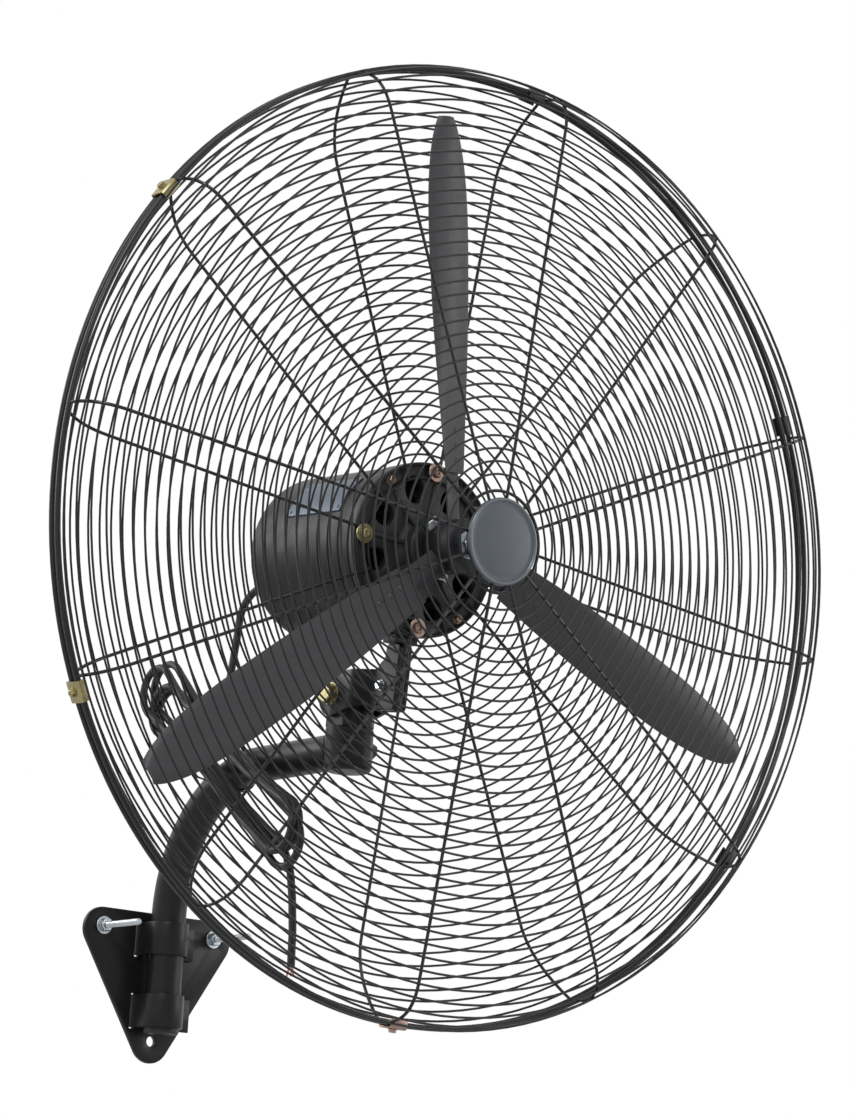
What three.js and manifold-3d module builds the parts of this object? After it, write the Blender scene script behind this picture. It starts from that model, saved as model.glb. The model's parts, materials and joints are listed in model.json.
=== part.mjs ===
// Wall mounted fan: wall plate, bent pipe arm, swivel and tilt joints, motor, three blade
// propeller and a two part wire cage. Millimetres, +Z up, the fan faces -Y, the wall is the
// XZ plane and the origin is the middle of the plate's back, level with its upper two holes.
import * as THREE from "three";
import { mergeVertices } from "three/addons/utils/BufferGeometryUtils.js";
import Module from "manifold-3d";

const wasm = await Module();
wasm.setup();

// ---------------------------------------------------------------- driving dimensions
const GAP = 0.3; // clearance of pieces that seat on each other
const STEEL = 4; // sheet of the tilt bracket

// wall plate
const PLATE_T = 5;
const HOLE_SPAN = 122;
const HOLE_DROP = 100;
const PLATE_CORNER_R = 20;
const FIX_HOLE_R = 4.6;
const PLATE_EDGE = 1;

// pipe arm
const PIPE_R = 16;
const PIPE_BORE_R = 13.5;
const PIPE_X = -5;
const PIPE_STANDOFF = 22;
const PIPE_FOOT = -92;
const PIPE_MOUTH_DEPTH = 30;
const RUN_Z = 142;
const BEND_R = 130;
const REACH = 258; // pipe axis to swivel axis

// pipe clamps
const STRAP_T = 3;
const STRAP_H = 30;
const STRAP_Z = [-8.5, -74];
const EAR_BOLT_X = 27;
const EAR_END_X = 38;
const EAR_BOLT_R = 3;
const SADDLE_W = 26;

// wall anchors
const STUD_R = 3;
const STUD_OUT = 59;
const ANCHOR_WASHER_R = 8.2;
const ANCHOR_WASHER_T = 1.6;
const ANCHOR_NUT_AF = 11;
const ANCHOR_NUT_H = 5.5;

// swivel
const SOCKET_R = 21;
const STEM_R = 16.5;
const SOCKET_TOP = 160;
const SOCKET_BELOW_RUN = 20;
const SOCKET_FLOOR_T = 6;
const PIVOT_Z = 188;
const PIVOT_HEAD_UP = 19;
const SET_SCREW_R = 4;

// tilt bracket
const CHEEK_GAP = 34; // between the inner faces of the two cheeks
const CHEEK_END_R = 19.5;
const TILT_BOLT_R = 5;
const TILT_WASHER_R = 10;
const CROSS_BOLT_R = 4;
const CROSS_BOLT_UP = 3; // above the tilt bolt
const CROSS_BOLT_BACK = 15; // behind the cheeks' front
const CHEEK_FRONT_UP = 28; // height of the cheeks' front edge above the tilt bolt
const FLANGE_UP = 44;
const FLANGE_W = 10;
const FOOT_LENGTH = 54; // of the cast foot, along the motor
const FOOT_DEPTH = 12; // under the motor, at the foot's back end
const LEG_LENGTH = 33;
const LEG_DOWN = 12; // below the cross bolt

// head, from the tilt bolt to the middle of the cage's rim plane
const REST_TILT = THREE.MathUtils.degToRad(5);
const HEAD_UP = 125.2;
const HEAD_FORWARD = 134.6;

// cage
const RIM_R = 402;
const RIM_WIRE_R = 3.2;
const RIM_APART = 14;
const RING_WIRE_R = 1.3;
const RING_PITCH = 52;
const SPOKE_W = 3;
const SPOKE_DEPTH = 3.4;
const SPOKES = 12;
const SPOKE_ANGLE = 25.2; // degrees, of the first spoke right of the middle
const CAGE_CORNER_R = 36;
const FRONT_FACE = 39; // front spokes at the corner's end, ahead of the rim plane
const FRONT_CROWN = 2; // how much further the middle stands
const REAR_FACE = 47;
const BADGE_R = 36.7;
const BADGE_T = 4.5;
const BADGE_SINK = 1.5;
const BADGE_BOSS_R = 28;
const BADGE_BOSS_T = 5;
const CLIPS = 6;
const CLIP_W = 14;
const CLIP_T = 1.6;
const CLIP_BESIDE_SPOKE = 1.7; // degrees

// motor
const MOTOR_R = 74;
const MOTOR_WALL = 3.5;
const MOTOR_LENGTH = 150;
const MOTOR_CORNER_R = 28;
const SHIELD_T = 10;
const SHIELD_R = 75.5;
const SHIELD_FRONT = -55;
const BOSS_R = 24;
const BOSS_UP = 13;
const VENTS = 8;
const VENT_RADIUS = 48;
const SCREW_CIRCLE = 68;
const GUARD_SCREW_ANGLE = 74;
const MOTOR_BOLT_ANGLE = 32;
const SCREW_R = 2.5;
const ROUND = 24; // sides of the motor's turned pieces
const STATOR_BORE_R = 44;
const STATOR_LENGTH = 70;
const STATOR_MIDDLE = -128;
const COIL_UP = 13;
const AIR_GAP = 0.7;
const BEARING_R = 16;
const BEARING_W = 11;

// propeller
const SHAFT_R = 7;
const BLADES = 3;
const BLADE_TIP_R = 366;
const BLADE_ROOT_R = 62;
const BLADE_ANGLE = 99.8; // degrees, of the upper blade
const BLADE_CHORD = 53;
const BLADE_ROOT_CHORD = 37;
const BLADE_LEAN = 3; // how far the root stands towards the leading edge
const BLADE_T = 2.4;
const BLADE_CAMBER = 4;
const ROOT_PITCH = 27;
const TIP_PITCH = 9;
const BLADE_PLANE = -9;
const HUB_R = 23;
const HUB_BACK = -39;
const HUB_FRONT = 5;
const ARM_W = 24;
const ARM_T = 5;
const ARM_TIP_R = 104;

// supply cord
const CORD_R = 3.5;
const CORD_SIDES = 7;
const HANK_R = 24.5;
const HANK_T = 18;
const HANK_TOP = { y: -50, z: 209 };
const HANK_FOOT = { y: -238, z: 70 };
const TIE_Y = -125;
const TIE_W = 4;
const TIE_T = 1.5;

// ---------------------------------------------------------------- derived places
const PLATE_FRONT = -PLATE_T;
const PIPE_Y = PLATE_FRONT - PIPE_STANDOFF;
const PIVOT_Y = PIPE_Y - REACH;
const HOLES = [
  [-HOLE_SPAN / 2, 0],
  [HOLE_SPAN / 2, 0],
  [0, -HOLE_DROP],
];
const TURN = Math.PI * 2;
const rad = THREE.MathUtils.degToRad;

const FINISH = {
  black: { color: 0x141416, roughness: 0.45, metalness: 0.3 },
  charcoal: { color: 0x3e3e42, roughness: 0.5, metalness: 0.5 },
  wire: { color: 0x101012, roughness: 0.4, metalness: 0.4 },
  zinc: { color: 0xb9c2c6, roughness: 0.3, metalness: 1 },
  gold: { color: 0xb8974a, roughness: 0.35, metalness: 1 },
  copper: { color: 0xa9775c, roughness: 0.35, metalness: 1 },
  iron: { color: 0x55575a, roughness: 0.5, metalness: 0.9 },
  badge: { color: 0x3b4148, roughness: 0.35, metalness: 0.2 },
  rubber: { color: 0x111113, roughness: 0.7, metalness: 0 },
};

// ---------------------------------------------------------------- helpers
function solid(geometry) {
  const g = geometry.clone();
  g.deleteAttribute("normal");
  g.deleteAttribute("uv");
  const merged = mergeVertices(g, 1e-3);
  return new wasm.Manifold(
    new wasm.Mesh({
      numProp: 3,
      vertProperties: merged.attributes.position.array,
      triVerts: new Uint32Array(merged.index.array),
    }),
  );
}

function geometryOf(manifold) {
  const mesh = manifold.getMesh();
  const g = new THREE.BufferGeometry();
  g.setAttribute("position", new THREE.BufferAttribute(mesh.vertProperties, 3));
  g.setIndex(new THREE.BufferAttribute(mesh.triVerts, 1));
  const flat = g.toNonIndexed();
  flat.computeVertexNormals();
  return flat;
}

// Joins and cuts drop the slivers that they leave where faces meet.
const tidied = (manifold) => geometryOf(manifold.asOriginal().simplify(1e-2));
const join = (list) => tidied(list.map(solid).reduce((a, b) => a.add(b)));
const cut = (geometry, tools) =>
  tidied(tools.map(solid).reduce((a, b) => a.subtract(b), solid(geometry)));

// A profile of [radius, height] pairs, turned about Z; the first side starts at the given angle.
function turned(profile, sides, start = 0) {
  const points = profile.map(([r, z]) => new THREE.Vector2(r, z));
  return new THREE.LatheGeometry(points, sides, start + Math.PI / 2).rotateX(Math.PI / 2);
}

// A rod about Z from one height to another.
function rod(radius, from, to, sides = 16) {
  return new THREE.CylinderGeometry(radius, radius, to - from, sides)
    .rotateX(Math.PI / 2)
    .translate(0, 0, (from + to) / 2);
}

const hexRod = (acrossFlats, from, to) => rod(acrossFlats / Math.sqrt(3), from, to, 6);

// A flat shape in XY, given thickness from one height to another.
function slab(shape, from, to, curveSegments = 8) {
  return new THREE.ExtrudeGeometry(shape, {
    depth: to - from,
    bevelEnabled: false,
    curveSegments,
  }).translate(0, 0, from);
}

// A round bar or cord along a curve.
function barAlong(curve, radius, steps, sides) {
  const section = new THREE.Shape();
  for (let i = 0; i < sides; i++) {
    const a = (i / sides) * TURN;
    if (i === 0) section.moveTo(radius, 0);
    else section.lineTo(radius * Math.cos(a), radius * Math.sin(a));
  }
  return new THREE.ExtrudeGeometry(section, { steps, extrudePath: curve, bevelEnabled: false });
}

function mesh(name, geometry, finish, parent) {
  const made = new THREE.Mesh(geometry, new THREE.MeshStandardMaterial(FINISH[finish]));
  made.name = name;
  parent.add(made);
  return made;
}

// Turns a geometry built about Z so that its Z points along -Y, out of the wall.
const outOfWall = (geometry) => geometry.rotateX(Math.PI / 2);
const alongX = (geometry) => geometry.rotateY(Math.PI / 2);

const fan = new THREE.Group();

// ---------------------------------------------------------------- wall bracket
// Three corner discs and the straight edges that touch them.
function plateOutline() {
  const shape = new THREE.Shape();
  const inset = PLATE_CORNER_R - 17;
  const centres = [
    [-HOLE_SPAN / 2, -inset],
    [0, -HOLE_DROP],
    [HOLE_SPAN / 2, -inset],
  ];
  centres.forEach(([x, z], i) => {
    const [px, pz] = centres[(i + 2) % 3];
    const [nx, nz] = centres[(i + 1) % 3];
    const from = Math.atan2(z - pz, x - px) - Math.PI / 2;
    const to = Math.atan2(nz - z, nx - x) - Math.PI / 2;
    shape.absarc(x, z, PLATE_CORNER_R - PLATE_EDGE, from, to, false);
  });
  return shape;
}

function roundHole(x, y, r) {
  const hole = new THREE.Path();
  hole.absarc(x, y, r, 0, TURN, true);
  return hole;
}

function slotHole(x, y, width, height) {
  const w = width / 2;
  const h = height / 2;
  return new THREE.Path([
    new THREE.Vector2(x - w, y - h),
    new THREE.Vector2(x - w, y + h),
    new THREE.Vector2(x + w, y + h),
    new THREE.Vector2(x + w, y - h),
  ]);
}

const STRAP_IN_R = PIPE_R + GAP;
const STRAP_OUT_R = STRAP_IN_R + STRAP_T;

function wallPlate() {
  const outline = plateOutline();
  HOLES.forEach(([x, z]) => outline.holes.push(roundHole(x, z, FIX_HOLE_R + PLATE_EDGE)));
  const slotX = PIPE_X - (STRAP_IN_R + STRAP_OUT_R) / 2;
  const edge = 2 * (GAP + PLATE_EDGE);
  STRAP_Z.forEach((z) => {
    outline.holes.push(slotHole(slotX, z, STRAP_T + edge, STRAP_H + edge));
    outline.holes.push(roundHole(EAR_BOLT_X, z, EAR_BOLT_R + 2 * GAP + PLATE_EDGE));
  });
  const body = new THREE.ExtrudeGeometry(outline, {
    depth: PLATE_T - 2 * PLATE_EDGE,
    bevelThickness: PLATE_EDGE,
    bevelSize: PLATE_EDGE,
    bevelSegments: 1,
    curveSegments: 4,
  });
  return outOfWall(body.translate(0, 0, PLATE_EDGE));
}

// The welded saddle that holds the pipe off the plate, a channel with a hollow front.
function pipeSaddle() {
  const half = SADDLE_W / 2;
  const depth = PIPE_STANDOFF - GAP;
  const r = PIPE_R + GAP;
  const lip = Math.asin(half / r);
  const shape = new THREE.Shape();
  shape.moveTo(-half, 0);
  shape.lineTo(half, 0);
  shape.lineTo(half, depth + GAP - r * Math.cos(lip));
  shape.absarc(0, depth + GAP, r, -Math.PI / 2 + lip, -Math.PI / 2 - lip, true);
  const top = STRAP_Z[0] + STRAP_H / 2;
  const foot = STRAP_Z[1] - STRAP_H / 2;
  return slab(shape, foot, top, 5)
    .rotateZ(Math.PI)
    .translate(PIPE_X, PLATE_FRONT, 0);
}

// One clamp: a tongue in the plate's slot, a bend over the pipe and an ear on the plate.
function pipeStrap(z) {
  const shape = new THREE.Shape();
  const earBack = PLATE_FRONT - GAP;
  const right = PIPE_X + STRAP_IN_R;
  shape.moveTo(PIPE_X - STRAP_IN_R, PLATE_FRONT + PLATE_T / 2);
  shape.lineTo(PIPE_X - STRAP_OUT_R, PLATE_FRONT + PLATE_T / 2);
  shape.lineTo(PIPE_X - STRAP_OUT_R, PIPE_Y);
  shape.absarc(PIPE_X, PIPE_Y, STRAP_OUT_R, Math.PI, TURN, false);
  shape.lineTo(right + STRAP_T, earBack - STRAP_T);
  shape.lineTo(EAR_END_X, earBack - STRAP_T);
  shape.lineTo(EAR_END_X, earBack);
  shape.lineTo(right, earBack);
  shape.lineTo(right, PIPE_Y);
  shape.absarc(PIPE_X, PIPE_Y, STRAP_IN_R, 0, -Math.PI, true);
  const band = slab(shape, z - STRAP_H / 2, z + STRAP_H / 2, 8);
  const hole = outOfWall(rod(EAR_BOLT_R + GAP, 0, 30, 10)).translate(EAR_BOLT_X, 0, z);
  return cut(band, [hole]);
}

function earBolt(z) {
  const seat = PLATE_T + 2 * GAP + STRAP_T;
  const bolt = join([hexRod(9, seat, seat + 4), rod(EAR_BOLT_R, 1, seat + 1, 10)]);
  return outOfWall(bolt).translate(EAR_BOLT_X, 0, z);
}

function anchorPieces() {
  const washerTop = PLATE_T + GAP + ANCHOR_WASHER_T;
  const bore = STUD_R + GAP;
  const ring = (r, from, to, sides) =>
    turned([[bore, from], [r, from], [r, to], [bore, to], [bore, from]], sides);
  return {
    stud: turned([[0, 0.5], [STUD_R, 0.5], [STUD_R, PLATE_T + STUD_OUT - 1],
      [STUD_R - 1, PLATE_T + STUD_OUT], [0, PLATE_T + STUD_OUT]], 10),
    washer: ring(ANCHOR_WASHER_R, PLATE_T + GAP, washerTop, 16),
    nut: cut(hexRod(ANCHOR_NUT_AF, washerTop + GAP, washerTop + GAP + ANCHOR_NUT_H),
      [rod(bore, 0, 30, 10)]),
  };
}

function addWallBracket(parent) {
  mesh("wall_plate", wallPlate(), "black", parent);
  mesh("pipe_saddle", pipeSaddle(), "black", parent);
  ["upper", "lower"].forEach((which, i) => {
    mesh(`${which}_clamp_strap`, pipeStrap(STRAP_Z[i]), "black", parent);
    mesh(`${which}_clamp_bolt`, earBolt(STRAP_Z[i]), "iron", parent);
  });
  ["left", "right"].forEach((side, i) => {
    Object.entries(anchorPieces()).forEach(([piece, geometry]) => {
      const [x, z] = HOLES[i];
      mesh(`anchor_${piece}_${side}`, outOfWall(geometry).translate(x, 0, z), "zinc", parent);
    });
  });
}

// ---------------------------------------------------------------- arm
const SOCKET_FOOT = RUN_Z - SOCKET_BELOW_RUN;

function armTube() {
  const path = new THREE.CurvePath();
  const at = (y, z) => new THREE.Vector3(PIPE_X, y, z);
  const bendStart = RUN_Z - BEND_R;
  path.add(new THREE.LineCurve3(at(PIPE_Y, PIPE_FOOT), at(PIPE_Y, bendStart)));
  const k = BEND_R * 0.5523;
  path.add(new THREE.CubicBezierCurve3(
    at(PIPE_Y, bendStart), at(PIPE_Y, bendStart + k),
    at(PIPE_Y - BEND_R + k, RUN_Z), at(PIPE_Y - BEND_R, RUN_Z)));
  path.add(new THREE.LineCurve3(at(PIPE_Y - BEND_R, RUN_Z), at(PIVOT_Y, RUN_Z)));
  const pipe = barAlong(path, PIPE_R, 18, 12);
  const mouth = rod(PIPE_BORE_R, PIPE_FOOT - 1, PIPE_FOOT + PIPE_MOUTH_DEPTH, 16)
    .translate(PIPE_X, PIPE_Y, 0);
  const cope = rod(SOCKET_R + GAP, SOCKET_FOOT - PIPE_R, SOCKET_TOP + PIPE_R, 24)
    .translate(PIPE_X, PIVOT_Y, 0);
  return cut(pipe, [mouth, cope]);
}

function pipePlug() {
  const r = PIPE_BORE_R - GAP;
  const foot = PIPE_FOOT - GAP;
  return turned([[0, foot - 2], [PIPE_R - 1, foot - 2], [PIPE_R, foot - 1], [PIPE_R, foot],
    [r, foot], [r, foot + 16], [r - 2, foot + 16], [r - 2, foot + 1], [0, foot + 1]], 12)
    .translate(PIPE_X, PIPE_Y, 0);
}

// The upright tube at the arm's end, closed below, that the pivot's stem turns in.
function swivelSocket() {
  const bore = STEM_R + GAP;
  const floor = SOCKET_FOOT + SOCKET_FLOOR_T;
  const wall = turned([[0, SOCKET_FOOT], [SOCKET_R - 5, SOCKET_FOOT],
    [SOCKET_R - 1.5, SOCKET_FOOT + 1.5], [SOCKET_R, SOCKET_FOOT + 5],
    [SOCKET_R, SOCKET_TOP], [bore, SOCKET_TOP], [bore, floor], [0, floor]], 20);
  const hole = alongX(rod(SET_SCREW_R + GAP, STEM_R - 2, SOCKET_R + 5, 10))
    .translate(0, 0, (floor + SOCKET_TOP) / 2);
  return cut(wall, [hole]).translate(PIPE_X, PIVOT_Y, 0);
}

function setScrew() {
  const screw = join([rod(SET_SCREW_R, STEM_R + GAP, SOCKET_R + GAP + 1, 10),
    hexRod(13, SOCKET_R + GAP, SOCKET_R + GAP + 5.5)]);
  const height = (SOCKET_FOOT + SOCKET_FLOOR_T + SOCKET_TOP) / 2;
  return alongX(screw).translate(PIPE_X, PIVOT_Y, height);
}

function addArm(parent) {
  mesh("arm_tube", armTube(), "black", parent);
  mesh("arm_end_plug", pipePlug(), "rubber", parent);
  mesh("swivel_socket", swivelSocket(), "black", parent);
  mesh("swivel_set_screw", setScrew(), "iron", parent);
}

// ---------------------------------------------------------------- pivot head on its stem
function pivotHead() {
  const seat = SOCKET_TOP + GAP;
  const top = PIVOT_Z + PIVOT_HEAD_UP;
  const stemFoot = SOCKET_FOOT + SOCKET_FLOOR_T + GAP;
  const body = turned([[0, stemFoot], [STEM_R - 2, stemFoot], [STEM_R, stemFoot + 2],
    [STEM_R, seat], [SOCKET_R, seat], [SOCKET_R, top - 3], [SOCKET_R - 3, top], [0, top]], 20);
  const flat = CHEEK_GAP / 2 - GAP;
  const side = (s) => new THREE.BoxGeometry(SOCKET_R, 3 * SOCKET_R, top - seat + 2)
    .translate(s * (flat + SOCKET_R / 2), 0, (top + seat) / 2);
  const bore = alongX(rod(TILT_BOLT_R + GAP, -40, 40, 12)).translate(0, 0, PIVOT_Z);
  return cut(body, [side(1), side(-1), bore]);
}

const CHEEK_OUT = CHEEK_GAP / 2 + STEEL;

function tiltBolt() {
  const washer = CHEEK_OUT + GAP;
  return alongX(join([
    rod(TILT_BOLT_R, -washer - 3, CHEEK_OUT + 12, 12),
    rod(TILT_WASHER_R, -washer - 2, -washer, 20),
    hexRod(16, -washer - 8.4, -washer - 1),
  ])).translate(0, 0, PIVOT_Z);
}

function tiltNut() {
  const from = CHEEK_OUT + GAP;
  return alongX(cut(hexRod(16, from, from + 8), [rod(TILT_BOLT_R + GAP, 0, 60, 12)]))
    .translate(0, 0, PIVOT_Z);
}

function addPivot(parent) {
  const pivot = new THREE.Group();
  pivot.position.set(PIPE_X, PIVOT_Y, 0);
  parent.add(pivot);
  mesh("pivot_head", pivotHead(), "black", pivot);
  mesh("tilt_bolt", tiltBolt(), "gold", pivot);
  mesh("tilt_nut", tiltNut(), "gold", pivot);
}

// ---------------------------------------------------------------- head: tilt bracket
// Built in the cage's own frame: Z is the propeller's axis towards the front, Y is up.
const BRACKET_FRONT = SHIELD_FRONT - 2;
const CROSS_BOLT = { y: -HEAD_UP + CROSS_BOLT_UP, z: BRACKET_FRONT - CROSS_BOLT_BACK };

// A side view drawn in (Z, Y) and given thickness along X.
function sideView(points, fromX, toX) {
  const shape = new THREE.Shape(points.map(([z, y]) => new THREE.Vector2(-z, y)));
  return slab(shape, fromX, toX).rotateY(Math.PI / 2);
}

function bracketCheek(side) {
  const inner = CHEEK_GAP / 2;
  const shape = new THREE.Shape();
  const lower = -HEAD_UP - CHEEK_END_R;
  shape.moveTo(-BRACKET_FRONT, lower - 1);
  shape.lineTo(-BRACKET_FRONT, -HEAD_UP + CHEEK_FRONT_UP);
  shape.lineTo(HEAD_FORWARD - STEEL, -HEAD_UP + CHEEK_END_R);
  shape.absarc(HEAD_FORWARD, -HEAD_UP, CHEEK_END_R, Math.PI / 2, -Math.PI / 2, true);
  const from = side > 0 ? inner : -inner - STEEL;
  const plate = slab(shape, from, from + STEEL, 10);
  const flangeTop = -HEAD_UP + FLANGE_UP;
  const flangeX = side * (inner + STEEL / 2 + FLANGE_W / 2);
  const flange = new THREE.BoxGeometry(STEEL, flangeTop - lower + 1, FLANGE_W + STEEL)
    .translate(-BRACKET_FRONT + STEEL / 2, (flangeTop + lower - 1) / 2, flangeX);
  const hole = (y, z, r) => rod(r + GAP, -60, 60, 12).translate(-z, y, 0);
  const made = join([plate, flange]);
  return cut(made, [hole(-HEAD_UP, -HEAD_FORWARD, TILT_BOLT_R),
    hole(CROSS_BOLT.y, CROSS_BOLT.z, CROSS_BOLT_R)]).rotateY(Math.PI / 2);
}

// The cast leg under the motor that stands between the cheeks.
function motorFoot() {
  const half = CHEEK_GAP / 2 - GAP;
  const low = CROSS_BOLT.y - LEG_DOWN;
  const front = BRACKET_FRONT - 1;
  const top = -MOTOR_R * 0.7;
  const heel = -MOTOR_R - FOOT_DEPTH;
  const slant = FOOT_LENGTH - LEG_LENGTH;
  const leg = sideView([[front, low], [front, top], [front - FOOT_LENGTH, top],
    [front - FOOT_LENGTH, heel], [front - LEG_LENGTH, heel - slant], [front - LEG_LENGTH, low]],
  -half, half);
  const housing = rod(MOTOR_R + GAP, -2 * MOTOR_LENGTH, 0, 48);
  const shield = rod(SHIELD_R + GAP, SHIELD_FRONT - SHIELD_T - GAP, 0, 48);
  const bolt = alongX(rod(CROSS_BOLT_R + GAP, -60, 60, 12)).translate(0, CROSS_BOLT.y, CROSS_BOLT.z);
  return cut(leg, [housing, shield, bolt]);
}

function crossBolt() {
  const seat = CHEEK_OUT + GAP;
  return alongX(join([rod(CROSS_BOLT_R, -seat - 2, seat + 2, 12),
    hexRod(12, -seat - 5, -seat), hexRod(12, seat, seat + 6)]))
    .translate(0, CROSS_BOLT.y, CROSS_BOLT.z);
}

function addTiltBracket(parent) {
  mesh("tilt_cheek_left", bracketCheek(-1), "black", parent);
  mesh("tilt_cheek_right", bracketCheek(1), "black", parent);
  mesh("motor_foot", motorFoot(), "black", parent);
  mesh("bracket_cross_bolt", crossBolt(), "zinc", parent);
}

// ---------------------------------------------------------------- head: motor
const HOUSING_FRONT = SHIELD_FRONT - SHIELD_T - GAP;
const MOTOR_BACK = SHIELD_FRONT - MOTOR_LENGTH;
const REAR_BEARING_BACK = MOTOR_BACK + MOTOR_WALL;
const BEARING_POCKET = BEARING_W + 2;

// A quarter turn of profile points about (r, z), from one angle to another in degrees.
function quarter(r, z, radius, from, to, steps = 3) {
  return Array.from({ length: steps + 1 }, (_, i) => {
    const a = rad(from + ((to - from) * i) / steps);
    return [r + radius * Math.cos(a), z + radius * Math.sin(a)];
  });
}

function motorHousing() {
  const bend = MOTOR_CORNER_R;
  const inner = MOTOR_R - MOTOR_WALL;
  const pocket = BEARING_R + GAP;
  const pocketTop = REAR_BEARING_BACK + BEARING_POCKET;
  return turned([
    [0, MOTOR_BACK],
    ...quarter(MOTOR_R - bend, MOTOR_BACK + bend, bend, -90, 0),
    [MOTOR_R, HOUSING_FRONT],
    [inner, HOUSING_FRONT],
    ...quarter(inner - bend, REAR_BEARING_BACK + bend, bend, 0, -90),
    [pocket + 4, REAR_BEARING_BACK],
    [pocket + 4, pocketTop],
    [pocket, pocketTop],
    [pocket, REAR_BEARING_BACK],
    [0, REAR_BEARING_BACK],
  ], ROUND);
}

function aroundAxis(count, first, radius, make) {
  return Array.from({ length: count }, (_, i) => {
    const a = rad(first) + (i / count) * TURN;
    return make(i).rotateZ(a).translate(radius * Math.cos(a), radius * Math.sin(a), 0);
  });
}

function motorShield() {
  const back = SHIELD_FRONT - SHIELD_T;
  const boss = SHIELD_FRONT + BOSS_UP;
  const pocket = BEARING_R + GAP;
  const disc = turned([
    [pocket, back], [SHIELD_R, back], [SHIELD_R, SHIELD_FRONT - 2], [SHIELD_R - 2, SHIELD_FRONT],
    [BOSS_R + 3, SHIELD_FRONT], [BOSS_R, SHIELD_FRONT + 3], [BOSS_R, boss - 3],
    [BOSS_R - 3, boss], [SHAFT_R + 1, boss], [SHAFT_R + 1, boss - 4], [pocket, boss - 4],
    [pocket, back],
  ], ROUND);
  const vent = () => rod(6, back - 5, SHIELD_FRONT + 5, 8).scale(1, 1.7, 1);
  const vents = aroundAxis(VENTS, 10, VENT_RADIUS, vent);
  const hole = () => rod(SCREW_R + GAP, back - 5, SHIELD_FRONT + 5, 6);
  const holes = [
    ...aroundAxis(4, GUARD_SCREW_ANGLE, SCREW_CIRCLE, hole),
    ...aroundAxis(4, MOTOR_BOLT_ANGLE, SCREW_CIRCLE, hole),
  ];
  return cut(disc, [...vents, ...holes]);
}

// Lamination stack with the copper end windings on both sides.
function stator() {
  const out = MOTOR_R - MOTOR_WALL - GAP;
  const low = STATOR_MIDDLE - STATOR_LENGTH / 2;
  const high = STATOR_MIDDLE + STATOR_LENGTH / 2;
  const coilOut = out - 8;
  const coilIn = STATOR_BORE_R + 4;
  return turned([
    [STATOR_BORE_R, low], [coilIn, low], [coilIn + 2, low - COIL_UP], [coilOut - 2, low - COIL_UP],
    [coilOut, low], [out, low], [out, high], [coilOut, high], [coilOut - 2, high + COIL_UP],
    [coilIn + 2, high + COIL_UP], [coilIn, high], [STATOR_BORE_R, high], [STATOR_BORE_R, low],
  ], ROUND);
}

function bearing(from) {
  const bore = SHAFT_R + GAP;
  const to = from + BEARING_W;
  return turned([[bore, from], [BEARING_R, from], [BEARING_R, to], [bore, to], [bore, from]], 16);
}

function cordGland() {
  return turned([[CORD_R + GAP, 0], [11, 0], [11, 4], [8, 5], [5.4, 26], [CORD_R + GAP, 26],
    [CORD_R + GAP, 0]], 12);
}

const GLAND = { x: -28, y: -26 };

function addMotor(parent) {
  mesh("motor_housing", motorHousing(), "black", parent);
  mesh("motor_shield", motorShield(), "charcoal", parent);
  mesh("stator", stator(), "iron", parent);
  mesh("front_bearing", bearing(SHIELD_FRONT + BOSS_UP - 4 - GAP - BEARING_W), "iron", parent);
  mesh("rear_bearing", bearing(REAR_BEARING_BACK + GAP), "iron", parent);
  const gland = cordGland().rotateX(Math.PI).translate(GLAND.x, GLAND.y, MOTOR_BACK - GAP);
  mesh("cord_gland", gland, "rubber", parent);
}

// ---------------------------------------------------------------- head: cage
// The bent line of a spoke in (radius, height): up from the rim, round a corner, to the middle.
function cageLine(face, hubPlane, innerR) {
  const line = new THREE.CurvePath();
  const at = (r, z) => new THREE.Vector2(r, z);
  const start = Math.sign(face) * (RIM_APART + RIM_WIRE_R) / 2;
  const corner = RIM_R - CAGE_CORNER_R;
  line.add(new THREE.QuadraticBezierCurve(at(RIM_R, start), at(RIM_R, face), at(corner, face)));
  line.add(new THREE.LineCurve(at(corner, face), at(innerR, hubPlane)));
  return line;
}

function cageRing(r, z, wireR, sides, corners) {
  const section = Array.from({ length: corners + 1 }, (_, i) => {
    const a = (i / corners) * TURN;
    return [r + wireR * Math.cos(a), z + wireR * Math.sin(a)];
  });
  return turned(section, sides, rad(SPOKE_ANGLE));
}

// One spoke: the bent line with half the wire's depth on each side of it.
function cageSpoke(line) {
  const cornerStops = [0, 0.25, 0.5, 0.75, 1].map((t) => line.curves[0].getPoint(t));
  const stops = [...cornerStops, line.curves[1].getPoint(1)];
  const offset = (side) => stops.map((p, i) => {
    const before = stops[Math.max(i - 1, 0)];
    const after = stops[Math.min(i + 1, stops.length - 1)];
    const t = after.clone().sub(before).setLength(SPOKE_DEPTH / 2);
    return new THREE.Vector2(p.x - side * t.y, p.y + side * t.x);
  });
  const shape = new THREE.Shape([...offset(1), ...offset(-1).reverse()]);
  return slab(shape, -SPOKE_W / 2, SPOKE_W / 2).rotateX(Math.PI / 2);
}

// A wire guard: rim ring, rings along the spokes at even pitch, rings at the hub, and spokes.
function guard(line, hubRings) {
  const rim = cageRing(RIM_R, Math.sign(line.curves[0].v2.y) * RIM_APART / 2, RIM_WIRE_R, 36, 4);
  const rings = [rim];
  const length = line.getLength();
  const end = line.getPoint(1);
  for (let s = RING_PITCH; s < length - RING_PITCH / 2; s += RING_PITCH) {
    const p = line.getPointAt(s / length);
    rings.push(cageRing(p.x, p.y, RING_WIRE_R, 24, 3));
  }
  hubRings.forEach((r) => rings.push(cageRing(r, end.y, RING_WIRE_R, 24, 4)));
  const spokes = Array.from({ length: SPOKES }, (_, i) =>
    cageSpoke(line).rotateZ(rad(SPOKE_ANGLE) + (i / SPOKES) * TURN));
  return join([...rings, ...spokes]);
}

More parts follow.
